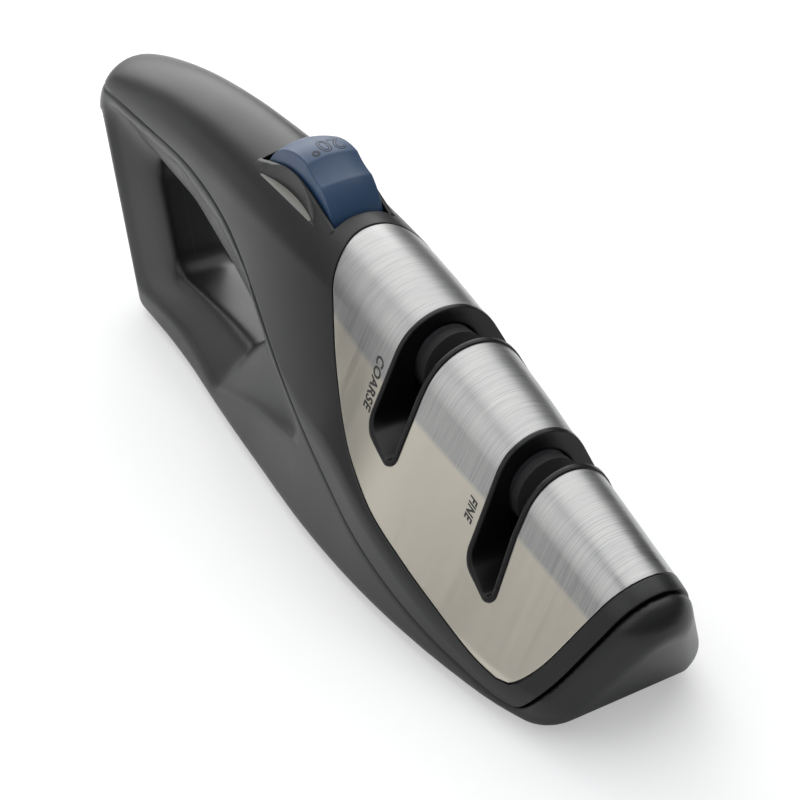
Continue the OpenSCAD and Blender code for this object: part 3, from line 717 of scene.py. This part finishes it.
def housing_plastic(name, loop=False):
    m = Mat(name)
    tone = m.noise(26, 3, 0.55)
    color = m.ramp(tone, [(0.3, rgb(19, 19, 20)), (0.7, rgb(24, 24, 25))])
    if loop:
        # painted shade: a dark band of colour just inside the loop's lip stands for the shade in its fine
        # crease; along the middle of its walls the mould's line is drawn as a thin lighter line
        depth = m.node("Attribute", attribute_name="depth").outputs["Fac"]
        # painted shade of the crease, darkest from 1.2 to 1.5 mm below the housing's outside
        lip_crease_painted_shade = m.ramp(m.span(m.divide(depth, 3.0), 0, 1), [
            (0.30, 1.0), (0.40, 0.35), (0.50, 0.35), (0.62, 1.0)])
        y = m.node("SeparateXYZ", Vector=m.coords()).outputs["Y"]
        away = m.node("Math", operation="ABSOLUTE")
        m.set(away.inputs[0], y)
        seam = m.ramp(m.divide(away.outputs[0], 0.0006), [(0.12, 2.2), (0.3, 1.0)])
        inner = m.ramp(m.divide(depth, 3.0), [(0.9, 0.0), (1.0, 1.0)])
        # the painted crease shade darkens the frame's colour
        color = m.times(color, lip_crease_painted_shade)
        color = m.blend(inner, color, m.times(color, seam))
    m.put(Base_Color=color)
    m.put(Roughness=m.span(m.noise(90, 3), 0.33, 0.4), IOR=1.42)
    m.bump(m.noise(5200, 2, 0.6), 0.00002, 0.5, edge=0.00035)
    return m.m


def ledge_painted_sheen():
    m = Mat("ledge_painted_sheen_smooth")
    # painted highlight: the ledges' colour is far paler than the housing's, standing for the light they catch
    # from above
    m.put(Base_Color=m.ramp(m.noise(40, 3), [(0.3, rgb(118, 117, 112)), (0.7, rgb(126, 125, 119))]))
    m.put(Roughness=m.span(m.noise(120, 3), 0.35, 0.45), IOR=1.4)
    m.bump(m.noise(5200, 2, 0.6), 0.00001, 0.4)
    return m.m


def steel():
    m = Mat("brushed_steel_sheet")
    fine = m.noise(42, 4, 0.7, (150, 1.6, 1.6))
    broad = m.noise(9, 3, 0.6, (60, 1, 1))
    wide = m.noise(14, 2, 0.5, (5, 1.5, 1.5))
    # the flat lower flank is plain, and its colour is painted lighter and warmer than the arch's, a painted
    # reflection of the floor;
    # the arch above it shows its brushed lines; they meet on a line that falls toward the nose
    split = m.node("SeparateXYZ", Vector=m.coords())
    line = m.node("Math", operation="MULTIPLY_ADD")
    m.set(line.inputs[0], split.outputs["X"])
    line.inputs[1].default_value, line.inputs[2].default_value = 0.2976, -0.05726
    above = m.node("Math", operation="ADD")
    m.set(above.inputs[0], line.outputs[0])
    m.set(above.inputs[1], split.outputs["Z"])
    arch_zone = m.ramp(m.divide(above.outputs[0], 0.002), [(0.0, 0.0), (0.5, 1.0)])
    streak = m.ramp(fine, [(0.3, (0.255, 0.26, 0.262)), (0.62, (0.40, 0.396, 0.386))])
    # painted reflection: the flat flank's plain colour is raised to stand for the bright floor it reflects
    plain_tone_painted_reflection = m.ramp(wide, [(0.3, rgb(186, 181, 169)), (0.7, rgb(196, 191, 179))])
    m.put(Base_Color=m.blend(arch_zone, plain_tone_painted_reflection, streak))
    mix = m.node("Math", operation="ADD")
    m.set(mix.inputs[0], fine)
    m.set(mix.inputs[1], broad)
    half = m.node("Math", operation="MULTIPLY")
    m.set(half.inputs[0], mix.outputs[0])
    half.inputs[1].default_value = 0.5
    m.put(Roughness=m.span(half.outputs[0], 0.2, 0.44), Metallic=1.0, Anisotropic=0.55)
    tangent = m.t.nodes.new("ShaderNodeTangent")
    tangent.direction_type, tangent.axis = "RADIAL", "X"
    m.t.links.new(tangent.outputs["Tangent"], m.b.inputs["Tangent"])
    m.bump(half.outputs[0], 0.000012, 0.6, edge=0.0003)
    return m.m


def liner_plastic():
    m = Mat("liner_plastic_black")
    m.put(Base_Color=m.ramp(m.noise(60, 2), [(0.3, rgb(8, 8, 9)), (0.7, rgb(13, 13, 14))]))
    m.put(Roughness=m.span(m.noise(200, 3), 0.26, 0.36), IOR=1.36)
    m.bump(m.noise(3000, 2), 0.00001, 0.4, edge=0.0006)
    return m.m


def button_plastic():
    m = Mat("button_plastic_blue")
    m.put(Base_Color=m.ramp(m.noise(70, 3), [(0.3, rgb(29, 56, 86)), (0.7, rgb(35, 64, 96))]))
    m.put(Roughness=m.span(m.noise(160, 3), 0.38, 0.5), IOR=1.5)
    m.bump(m.noise(5000, 2), 0.000012, 0.5, edge=0.0004)
    return m.m


def button_mark():
    m = Mat("button_mark_line")
    m.put(Base_Color=m.ramp(m.noise(900, 2), [(0.3, rgb(12, 21, 36)), (0.7, rgb(17, 28, 45))]))
    m.put(Roughness=m.span(m.noise(400, 2), 0.45, 0.6))
    return m.m


def ink():
    m = Mat("printed_ink_black")
    m.put(Base_Color=m.ramp(m.noise(1600, 3), [(0.35, rgb(34, 33, 32)), (0.75, rgb(58, 56, 53))]))
    m.put(Roughness=m.span(m.noise(700, 2), 0.4, 0.6))
    return m.m


def abrasive(name, lo, hi, depth):
    m = Mat(name)
    voro = m.node("TexVoronoi", Scale=2600.0)
    m.t.links.new(m.coords(), voro.inputs["Vector"])
    grit = m.noise(3400, 4, 0.7)
    m.put(Base_Color=m.ramp(grit, [(0.3, lo), (0.72, hi)]))
    m.put(Roughness=m.span(grit, 0.5, 0.85))
    m.bump(voro.outputs["Distance"], depth, 0.8)
    return m.m


def plated():
    m = Mat("plated_steel_satin")
    m.put(Base_Color=m.ramp(m.noise(120, 3), [(0.3, rgb(178, 180, 184)), (0.7, rgb(196, 198, 200))]))
    m.put(Roughness=m.span(m.noise(800, 3), 0.22, 0.36), Metallic=1.0)
    m.bump(m.noise(2500, 2), 0.000006, 0.5)
    return m.m


def works_plastic():
    m = Mat("works_plastic_grey")
    m.put(Base_Color=m.ramp(m.noise(60, 3), [(0.3, rgb(40, 41, 43)), (0.7, rgb(48, 49, 51))]))
    m.put(Roughness=m.span(m.noise(200, 3), 0.42, 0.56))
    m.bump(m.noise(3000, 2), 0.00001, 0.4)
    return m.m


def rubber():
    m = Mat("foot_rubber_matt")
    m.put(Base_Color=m.ramp(m.noise(80, 3), [(0.3, rgb(28, 28, 29)), (0.7, rgb(36, 36, 37))]))
    m.put(Roughness=m.span(m.noise(500, 3), 0.68, 0.85))
    m.bump(m.noise(2600, 3), 0.00003, 0.5)
    return m.m


HOUSING = housing_plastic("housing_plastic_grained")
STEEL, LINER, BLUE = steel(), liner_plastic(), button_plastic()
FRAME = housing_plastic("frame_plastic_grained_painted_shade", True)
LEDGE_PAINTED_SHEEN = ledge_painted_sheen()
MARK, INK, PLATED, WORKS, RUBBER = button_mark(), ink(), plated(), works_plastic(), rubber()
GRIT_COARSE = abrasive("coarse_abrasive_grit", rgb(44, 44, 46), rgb(84, 83, 86), 0.00006)
GRIT_MIDDLE = abrasive("middle_abrasive_grit", rgb(16, 16, 17), rgb(34, 34, 36), 0.00004)
GRIT_FINE = abrasive("fine_abrasive_grit", rgb(78, 77, 81), rgb(104, 103, 107), 0.000025)


def paint(o, mat):
    o.data.materials.clear()
    o.data.materials.append(mat)


def piece(o, mat, body, slot_name, *nodes):
    paint(o, mat)
    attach(o, body)
    if nodes:
        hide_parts(*nodes)
    return o


# ---------------------------------------------------------------- pieces
def make_frame():
    o, field = lower_frame()
    cuts = [tube("c", (x, y, -2), "z", 3.0, 4.8) for x, y in SHELL_SCREWS]
    combine(o, cuts, "DIFFERENCE")
    shade(o, field.normals, 34, 40)
    add_depth(o)
    return piece(o, FRAME, "housing", "housing_plastic", "lower_frame")


# x and z of the selector's pivot, and half the width of its pocket
PIVOT = np.array([-13.2, 60.9])
POCKET = 6.8


def scoop(side):
    """Shallow finger ledge beside the button, out to a straight edge along the flank."""
    x = np.linspace(-28.5, 1.5, 41)
    wall = -(POCKET + 0.6 + 0.0115 * (x + 14) ** 2)
    rows = []
    for xi, wi in zip(x, wall):
        s = float(station(xi, 66))
        h, r = float(table(SEC_H, s)), float(table(SEC_R, s))
        z = h - r + math.sqrt(r * r - 9.05**2)
        rows.append([(xi, -14.0, z - 0.26 * 4.95), (xi, wi, z + 0.26 * (9.05 + wi)),
                     (xi, wi + 0.35, z + 6), (xi, -14.0, z + 6)])
    n = len(rows)
    v = np.array(rows).reshape(-1, 3)
    faces = [(0, 1, 2, 3), (4 * n - 1, 4 * n - 2, 4 * n - 3, 4 * n - 4)]
    for j in range(n - 1):
        for i in range(4):
            k = (i + 1) % 4
            faces.append((4 * j + i, 4 * j + 4 + i, 4 * j + 4 + k, 4 * j + k))
    if side > 0:
        v = v * [1, -1, 1]
    else:
        faces = [f[::-1] for f in faces]
    return new_object("scoop", v, faces)


def cheek(side):
    """Raised cheek along one side of the button's pocket."""
    x = np.linspace(-28.6, 3.4, 33)
    rows = []
    for i, xi in enumerate(x):
        s = float(station(xi, 66))
        h, r = float(table(SEC_H, s)), float(table(SEC_R, s))
        rise = 4.1 * math.sin(math.pi * i / (len(x) - 1)) ** 1.2 if 0 < i < len(x) - 1 else 0
        top, foot = h - r + math.sqrt(r * r - POCKET**2) - 0.1, h - r + math.sqrt(r * r - 9.4**2) - 0.1
        q = [(POCKET - 0.2, top - 2), (9.4, foot - 1.5), (9.4, foot), (POCKET + 1.0, top + rise - 0.3),
             (POCKET + 0.7, top + rise - 0.1), (POCKET + 0.35, top + rise), (POCKET - 0.2, top + rise)]
        rows.append([(xi, -y, z) for y, z in q])
    m, n = len(rows[0]), len(rows)
    v = np.array(rows).reshape(-1, 3)
    faces = [tuple(range(m))[::-1], tuple(range((n - 1) * m, n * m))]
    for j in range(n - 1):
        for i in range(m):
            k = (i + 1) % m
            faces.append((j * m + i, j * m + k, j * m + m + k, j * m + m + i))
    if side > 0:
        v = v * [1, -1, 1]
    else:
        faces = [f[::-1] for f in faces]
    return new_object("cheek", v, faces)


def make_shell():
    o = new_object("shell_upper", *loft(0))
    combine(o, [prism("above", np.concatenate([PARTING + [0, 0.1], OVERHEAD]))], "INTERSECT")
    recess = prism("recess", leaf(0.35))
    combine(recess, [new_object("in", *loft(0.75))], "DIFFERENCE")
    hollow = new_object("hollow", *loft(WALL, 90, na=12, nl=4, nm=5, nf=5, nb=3, nu=3))
    combine(hollow, [prism("h2", HOLLOW_TOP)], "INTERSECT")
    channel = brick("channel", (-21.5, -5, 43.6), (12.5, 5, 61.6))
    combine(o, [recess, hollow, channel], "DIFFERENCE")
    combine(o, [cheek(-1), cheek(1)], "UNION")
    pocket = prism("pocket", rounded([(-26.7, 62, 0.3), (2.7, 62, 0.3), (2.7, 82, 0.3), (-26.7, 82, 0.3)], 2),
                   -POCKET, POCKET)
    well = tube("well", (PIVOT[0], -POCKET, PIVOT[1]), "y", 17.0, 2 * POCKET, 160)
    combine(o, [pocket, well, prism("s1", slot(COARSE, 0.02)), prism("s2", slot(FINE, 0.02))], "DIFFERENCE")
    combine(o, [scoop(-1), scoop(1)], "DIFFERENCE")
    rooms = []
    for x, z in (COARSE_AXLE, FINE_AXLE):
        rooms += [tube("r1", (x - 9.6, 0, z), "x", 8.0, 14.0), tube("r2", (x - 9.6, 0, z), "x", 6.6, 16.8)]
    combine(o, rooms, "DIFFERENCE")
    shade(o, body_normals, level=0)
    piece(o, HOUSING, "housing", "housing_plastic", "upper_shell")
    # the ledges beside the button are painted paler, a painted highlight for the light they catch from above,
    # and have a smooth finish
    me = o.data
    me.materials.append(LEDGE_PAINTED_SHEEN)
    middle = np.array([p.center for p in me.polygons]) / MM
    up = np.array([p.normal.z for p in me.polygons])
    there = (up > 0.9) & (np.abs(middle[:, 1]) > POCKET + 0.2) & (np.abs(middle[:, 1]) < 9.5)
    there &= (np.abs(middle[:, 0] + 13) < 16) & (body_at(middle) < -0.02) & (middle[:, 2] > 62)
    me.polygons.foreach_set("material_index", there.astype(np.int32))
    return o


def make_steel():
    o = new_object("steel_sheet", *loft(STEEL_INSET))
    combine(o, [prism("leaf", leaf(0))], "INTERSECT")
    combine(o, [new_object("in", *loft(STEEL_INSET + STEEL_T))], "DIFFERENCE")
    combine(o, [prism("s1", slot(COARSE, 0.02)), prism("s2", slot(FINE, 0.02))], "DIFFERENCE")
    shade(o, body_normals, level=-STEEL_INSET)
    return piece(o, STEEL, "housing", "brushed_steel_sheet", "steel_cover")


def make_liner(name, outline, x, z, deep, node):
    o = new_object(name, *loft(-RIM_OUT))
    combine(o, [prism("s", slot(outline, -0.02))], "INTERSECT")
    combine(o, [prism("in", slot(outline, -1.0)),
                brick("deep", (outline[0][0] - 6, -40, -5), (outline[0][0] + 22, 40, deep)),
                tube("w1", (x - 10, 0, z), "x", 8.0, 12.0),
                tube("w2", (x, 0, z), "x", 6.6, 12.0),
                brick("w3", (x - 10, -8.0, z - 40), (x + 14, 8.0, z))], "DIFFERENCE")
    shade(o, body_normals, level=RIM_OUT)
    return piece(o, LINER, "housing", "liner_plastic", node)


BUTTON_HALF, BUTTON_R, BUTTON_EDGE = 6.4, 16.6, 0.4
# the band's top is lower than its radius by the height of the mark's lines
BUTTON_TOP = 16.53
# finger dish: its angle, half its width in degrees, its radius and its axis's distance from the pivot
DISH_AT, DISH_HALF, DISH_R, DISH_OUT = 61.5, 13.0, 17.72, 33.5
# half the selector's swing and the drive pin's distance from the pivot
HALF_SWING, LEVER = math.radians(9.5), 12.1


def arch(phi):
    """Radius of the button's top at an angle about its pivot, with the finger dish."""
    d = np.radians(phi - DISH_AT)
    q = DISH_R**2 - (DISH_OUT * np.sin(d)) ** 2
    dish = DISH_OUT * np.cos(d) - np.sqrt(np.maximum(q, 0))
    return np.where(q > 0, np.minimum(BUTTON_TOP, dish), BUTTON_TOP)


def button_point(phi, y):
    """Point on the button's top, in millimetres."""
    w, crown = BUTTON_HALF, 1.3
    cr = (w * w + crown * crown) / (2 * crown)
    r = arch(phi) - cr + np.sqrt(np.maximum(cr * cr - y * y, 0))
    a = np.radians(phi)
    return np.stack([PIVOT[0] + r * np.cos(a), y + 0 * a, PIVOT[1] + r * np.sin(a)], -1)


def make_button():
    phis = np.unique(np.concatenate([np.linspace(-2, 145, 150), [DISH_AT - DISH_HALF, DISH_AT + DISH_HALF]]))
    w, r_edge = BUTTON_HALF, BUTTON_EDGE
    a = np.radians(np.linspace(0, 90, 6))
    ys_in = np.linspace(-(w - r_edge), w - r_edge, 23)

    def edge(p, rad, side, t):
        return p + rad * (-r_edge + r_edge * math.cos(t)) + np.array([0, side * r_edge * math.sin(t), 0])

    rows = []
    for phi in phis:
        top = button_point(np.full(23, phi), ys_in)
        rad = np.array([math.cos(math.radians(phi)), 0, math.sin(math.radians(phi))])
        left = [edge(top[0], rad, -1, t) for t in a[::-1]]
        right = [edge(top[-1], rad, 1, t) for t in a]
        hub = np.array([PIVOT[0], 0, PIVOT[1]]) + rad * 6.5
        row = [hub + [0, -w, 0]] + left + list(top[1:-1]) + right + [hub + [0, w, 0]]
        rows.append(np.array(row))
    k = len(rows[0])
    v = np.concatenate(rows)
    faces = []
    for j in range(len(rows) - 1):
        for i in range(k):
            n = (i + 1) % k
            faces.append((j * k + i, j * k + n, (j + 1) * k + n, (j + 1) * k + i))
    faces.append(tuple(range(k))[::-1])
    faces.append(tuple(range((len(rows) - 1) * k, len(rows) * k)))
    o = new_object("button_selector", v, faces)
    at_pivot = Matrix.Translation(Vector((PIVOT[0], 0, PIVOT[1])) * MM)
    arm = brick("arm", (-1.6, -1.7, -LEVER), (1.6, 1.7, 0))
    arm.data.transform(at_pivot @ Matrix.Rotation(HALF_SWING, 4, "Y"))
    pin = tube("pin", (PIVOT[0] - LEVER * math.sin(HALF_SWING), -1.8, PIVOT[1] - LEVER * math.cos(HALF_SWING)),
               "y", 1.9, 3.6, 48)
    hub = tube("hub", (PIVOT[0], -6.3, PIVOT[1]), "y", 6.6, 12.6, 96)
    bore = tube("bore", (PIVOT[0], -8, PIVOT[1]), "y", 1.55, 16, 48)
    combine(o, [hub, arm, pin], "UNION")
    back = brick("back", (PIVOT[0] - 12, 1.9, PIVOT[1] - 8), (PIVOT[0] - 4.6, 4.55, PIVOT[1] + 4.9))
    # the detent's second flat, the whole swing round from the first
    second = brick("second", (-7, 1.9, -8), (-4.6, 4.55, 4.9))
    second.data.transform(at_pivot @ Matrix.Rotation(2 * HALF_SWING, 4, "Y"))
    combine(o, [bore, back, second], "DIFFERENCE")
    shade(o, None, 24)
    return piece(o, BLUE, "selector", "button_plastic", "angle_button")


def text_mesh(name, body, bold=0.0, outline=0.0):
    """Vertices and faces of a line of lettering one unit high; with an outline, its edges as thin tubes."""
    c = bpy.data.curves.new(name, "FONT")
    c.body, c.size, c.resolution_u = body, 1.0, 6
    c.space_character = 1.06
    c.offset = bold
    if outline:
        c.fill_mode = "NONE"
        c.bevel_depth, c.bevel_resolution = outline, 1
    o = bpy.data.objects.new(name, c)
    bpy.context.scene.collection.objects.link(o)
    bpy.context.view_layer.update()
    me = bpy.data.meshes.new_from_object(o.evaluated_get(bpy.context.evaluated_depsgraph_get()))
    bpy.data.objects.remove(o)
    bpy.data.curves.remove(c)
    v = np.array([q.co for q in me.vertices])
    f = [tuple(p.vertices) for p in me.polygons]
    bpy.data.meshes.remove(me)
    return v, f


def near_row(s, t):
    """Points down the near flank at s from the ridge, inset by t, and their distances along it."""
    r = ring(s, t, na=40, nl=40, nm=40, nf=20)
    r = np.concatenate([r[:1], r[len(r) // 2:][::-1]])
    return r, np.concatenate([[0], np.cumsum(np.linalg.norm(np.diff(r, axis=0), axis=1))])


def flank_point(s, a):
    """Point on the near flank at a distance a down from the ridge along the section."""
    r, d = near_row(s, INK_INSET)
    return np.array([np.interp(a, d, r[:, i]) for i in range(3)])


def arc_to(s, y, z):
    """Distance down from the ridge to the point of the near flank nearest to y, z."""
    r, d = near_row(s, INK_INSET)
    return d[np.argmin((r[:, 1] - y) ** 2 + (r[:, 2] - z) ** 2)]


def make_word(name, word, p0, p1, height):
    """Printed word on the near flank; p0 and p1 are the line's ends at the letters' feet, as x, y, z."""
    v, f = text_mesh(name, word, 0.034)
    lo, hi = v.min(0), v.max(0)
    u = (v[:, 0] - lo[0]) / (hi[0] - lo[0])
    w = (v[:, 1] - lo[1]) / (hi[1] - lo[1]) * height
    s0, s1 = float(station(p0[0], p0[2])), float(station(p1[0], p1[2]))
    a0, a1 = arc_to(s0, p0[1], p0[2]), arc_to(s1, p1[1], p1[2])
    keys = {}
    out = []
    for uu, ww in zip(u, w):
        s = s0 + (s1 - s0) * uu + ww
        a = a0 + (a1 - a0) * uu
        q = (round(s, 2), round(a, 2))
        if q not in keys:
            keys[q] = flank_point(*q)
        out.append(keys[q])
    o = new_object(name, np.array(out), f)
    me = o.data
    if me.polygons and sum(p.normal.y for p in me.polygons) > 0:
        me.flip_normals()
    return piece(o, INK, "housing", "liner_plastic")


def make_mark():
    """Outlined 20 with a degree ring, in fine raised lines on the button's rear zone."""
    v, f = text_mesh("mark_20", "20°", 0.0, 0.024)
    lo, hi = v.min(0), v.max(0)
    width, height = 8.4, 5.2
    k = width / (hi[0] - lo[0])
    y = -((v[:, 0] - (lo[0] + hi[0]) / 2) * k)
    up = (v[:, 1] - (lo[1] + hi[1]) / 2) * (height / (hi[1] - lo[1]))
    phi = 85 - np.degrees(up / BUTTON_R)
    depth = v[:, 2] * k
    p = button_point(phi, np.clip(y, -6, 6))
    rad = np.stack([np.cos(np.radians(phi)), 0 * phi, np.sin(np.radians(phi))], 1)
    o = new_object("mark_20", p + rad * (depth * 0.5)[:, None], f)
    shade(o, None, 60)
    return piece(o, MARK, "selector", "button_plastic")


make_frame()
make_shell()
make_steel()
make_liner("liner_coarse", COARSE, *COARSE_AXLE, 30.0, "coarse_slot_liner")
make_liner("liner_fine", FINE, *FINE_AXLE, 17.0, "fine_slot_liner")
make_button()
make_mark()
make_word("word_coarse", "COARSE", (31.04, -13.47, 51.35), (33.06, -18.4, 41.69), 2.6)
make_word("word_fine", "FINE", (65.88, -13.61, 37.11), (66.4, -15.88, 32.48), 2.3)

CARRIED = {
    PLATED: ["button_pivot_pin", "detent_spring", "detent_spring_screw", "coarse_axle", "fine_axle",
             "carriage_guide_screws", "shell_screws"],
    WORKS: ["wheel_carriage", "carriage_guide"],
    GRIT_COARSE: ["coarse_rear_wheel", "coarse_front_wheel"],
    GRIT_FINE: ["fine_rear_wheel", "fine_front_wheel"],
    GRIT_MIDDLE: ["coarse_middle_wheel", "fine_middle_wheel"],
    RUBBER: ["rubber_feet"],
}
for mat, nodes in CARRIED.items():
    for n in nodes:
        paint(frame["nodes"][n], mat)


# ---------------------------------------------------------------- floor, light and camera
def stage():
    m = Mat("floor_pale")
    m.put(Base_Color=m.ramp(m.noise(3, 2), [(0.3, 0.94), (0.7, 0.96)]), Roughness=0.9)
    # toward the horizon the floor turns into the white backdrop, and near by it keeps the shadow, lightened by
    # a painted white glow of 40 percent
    far = m.node("VectorMath", operation="LENGTH")
    m.t.links.new(m.coords(), far.inputs[0])
    painted_glow = m.node("Math", operation="MULTIPLY")
    m.set(painted_glow.inputs[0], m.ramp(far.outputs["Value"], [(0.2, 0.4), (0.6, 1.0)]))
    m.set(painted_glow.inputs[1], m.node("LightPath").outputs["Is Camera Ray"])
    white, both = m.node("Emission"), m.node("MixShader")
    m.set(both.inputs["Fac"], painted_glow.outputs[0])
    m.t.links.new(m.b.outputs[0], both.inputs[1])
    m.t.links.new(white.outputs[0], both.inputs[2])
    m.t.links.new(both.outputs[0], m.t.nodes["Material Output"].inputs["Surface"])
    me = bpy.data.meshes.new("floor")
    me.from_pydata([(-3, -3, 0), (3, -3, 0), (3, 3, 0), (-3, 3, 0)], [], [(0, 1, 2, 3)])
    o = bpy.data.objects.new("floor", me)
    bpy.context.scene.collection.objects.link(o)
    me.materials.append(m.m)

    world = bpy.data.worlds.new("studio")
    bpy.context.scene.world = world
    world.use_nodes = True
    t = world.node_tree
    out, bg = t.nodes["World Output"], t.nodes["Background"]
    c = t.nodes.new("ShaderNodeTexCoord")
    sep = t.nodes.new("ShaderNodeSeparateXYZ")
    ramp = t.nodes.new("ShaderNodeValToRGB")
    t.links.new(c.outputs["Generated"], sep.inputs[0])
    t.links.new(sep.outputs["Z"], ramp.inputs["Fac"])
    t.links.new(ramp.outputs["Color"], bg.inputs["Color"])
    e = ramp.color_ramp.elements
    e[0].position, e[0].color = 0.12, (0.05, 0.052, 0.055, 1)
    e[1].position, e[1].color = 0.75, (0.62, 0.63, 0.65, 1)
    bg.inputs["Strength"].default_value = 0.8
    white = t.nodes.new("ShaderNodeBackground")
    white.inputs["Color"].default_value = (1, 1, 1, 1)
    path = t.nodes.new("ShaderNodeLightPath")
    mix = t.nodes.new("ShaderNodeMixShader")
    t.links.new(path.outputs["Is Camera Ray"], mix.inputs["Fac"])
    t.links.new(bg.outputs[0], mix.inputs[1])
    t.links.new(white.outputs[0], mix.inputs[2])
    t.links.new(mix.outputs[0], out.inputs["Surface"])


def lamp(name, place, target, size, watts):
    d = bpy.data.lights.new(name, "AREA")
    d.shape = "RECTANGLE"
    d.size, d.size_y = size
    d.energy = watts
    o = bpy.data.objects.new(name, d)
    bpy.context.scene.collection.objects.link(o)
    o.location = place
    o.rotation_euler = (Vector(target) - Vector(place)).to_track_quat("-Z", "Y").to_euler()


# the photo's view: angles in degrees, distance and shift in millimetres, focal length in picture widths
AZIMUTH, ELEVATION = 57.71, 32.26
DISTANCE, SHIFT_RIGHT, SHIFT_UP, CENTRE_X = 481.3, 7.832, 17.547, 3.5
FOCAL = 2097.35 / 800
SENSOR = 36


def camera():
    a, e = math.radians(AZIMUTH), math.radians(ELEVATION)
    back = Vector((math.sin(a) * math.cos(e), -math.cos(a) * math.cos(e), math.sin(e)))
    right = Vector((math.cos(a), math.sin(a), 0))
    up = back.cross(right)
    c = bpy.data.cameras.new("camera")
    c.sensor_width, c.lens = SENSOR, FOCAL * SENSOR
    c.clip_start, c.clip_end = 0.01, 20
    o = bpy.data.objects.new("camera", c)
    bpy.context.scene.collection.objects.link(o)
    place = (back * DISTANCE + right * SHIFT_RIGHT + up * SHIFT_UP + Vector((CENTRE_X, 0, 0))) * MM
    o.matrix_world = Matrix.Translation(place) @ Matrix((right, up, back)).transposed().to_4x4()
    bpy.context.scene.camera = o


stage()
lamp("overhead", (-0.28, 0.36, 0.9), (-0.28, 0.36, 0), (1.25, 1.35), 7.8)
lamp("rear_box", (-0.75, 0.2, 0.45), (0, 0, 0.05), (0.85, 0.6), 4.8)
lamp("front_side", (-0.03, -0.8, 0.58), (0.03, 0, 0.02), (1.0, 0.95), 3.15)
lamp("left_card", (-0.76, -0.44, 0.19), (0, 0, 0.03), (0.3, 0.25), 0.3)
camera()
bpy.context.scene.view_settings.view_transform = "Standard"
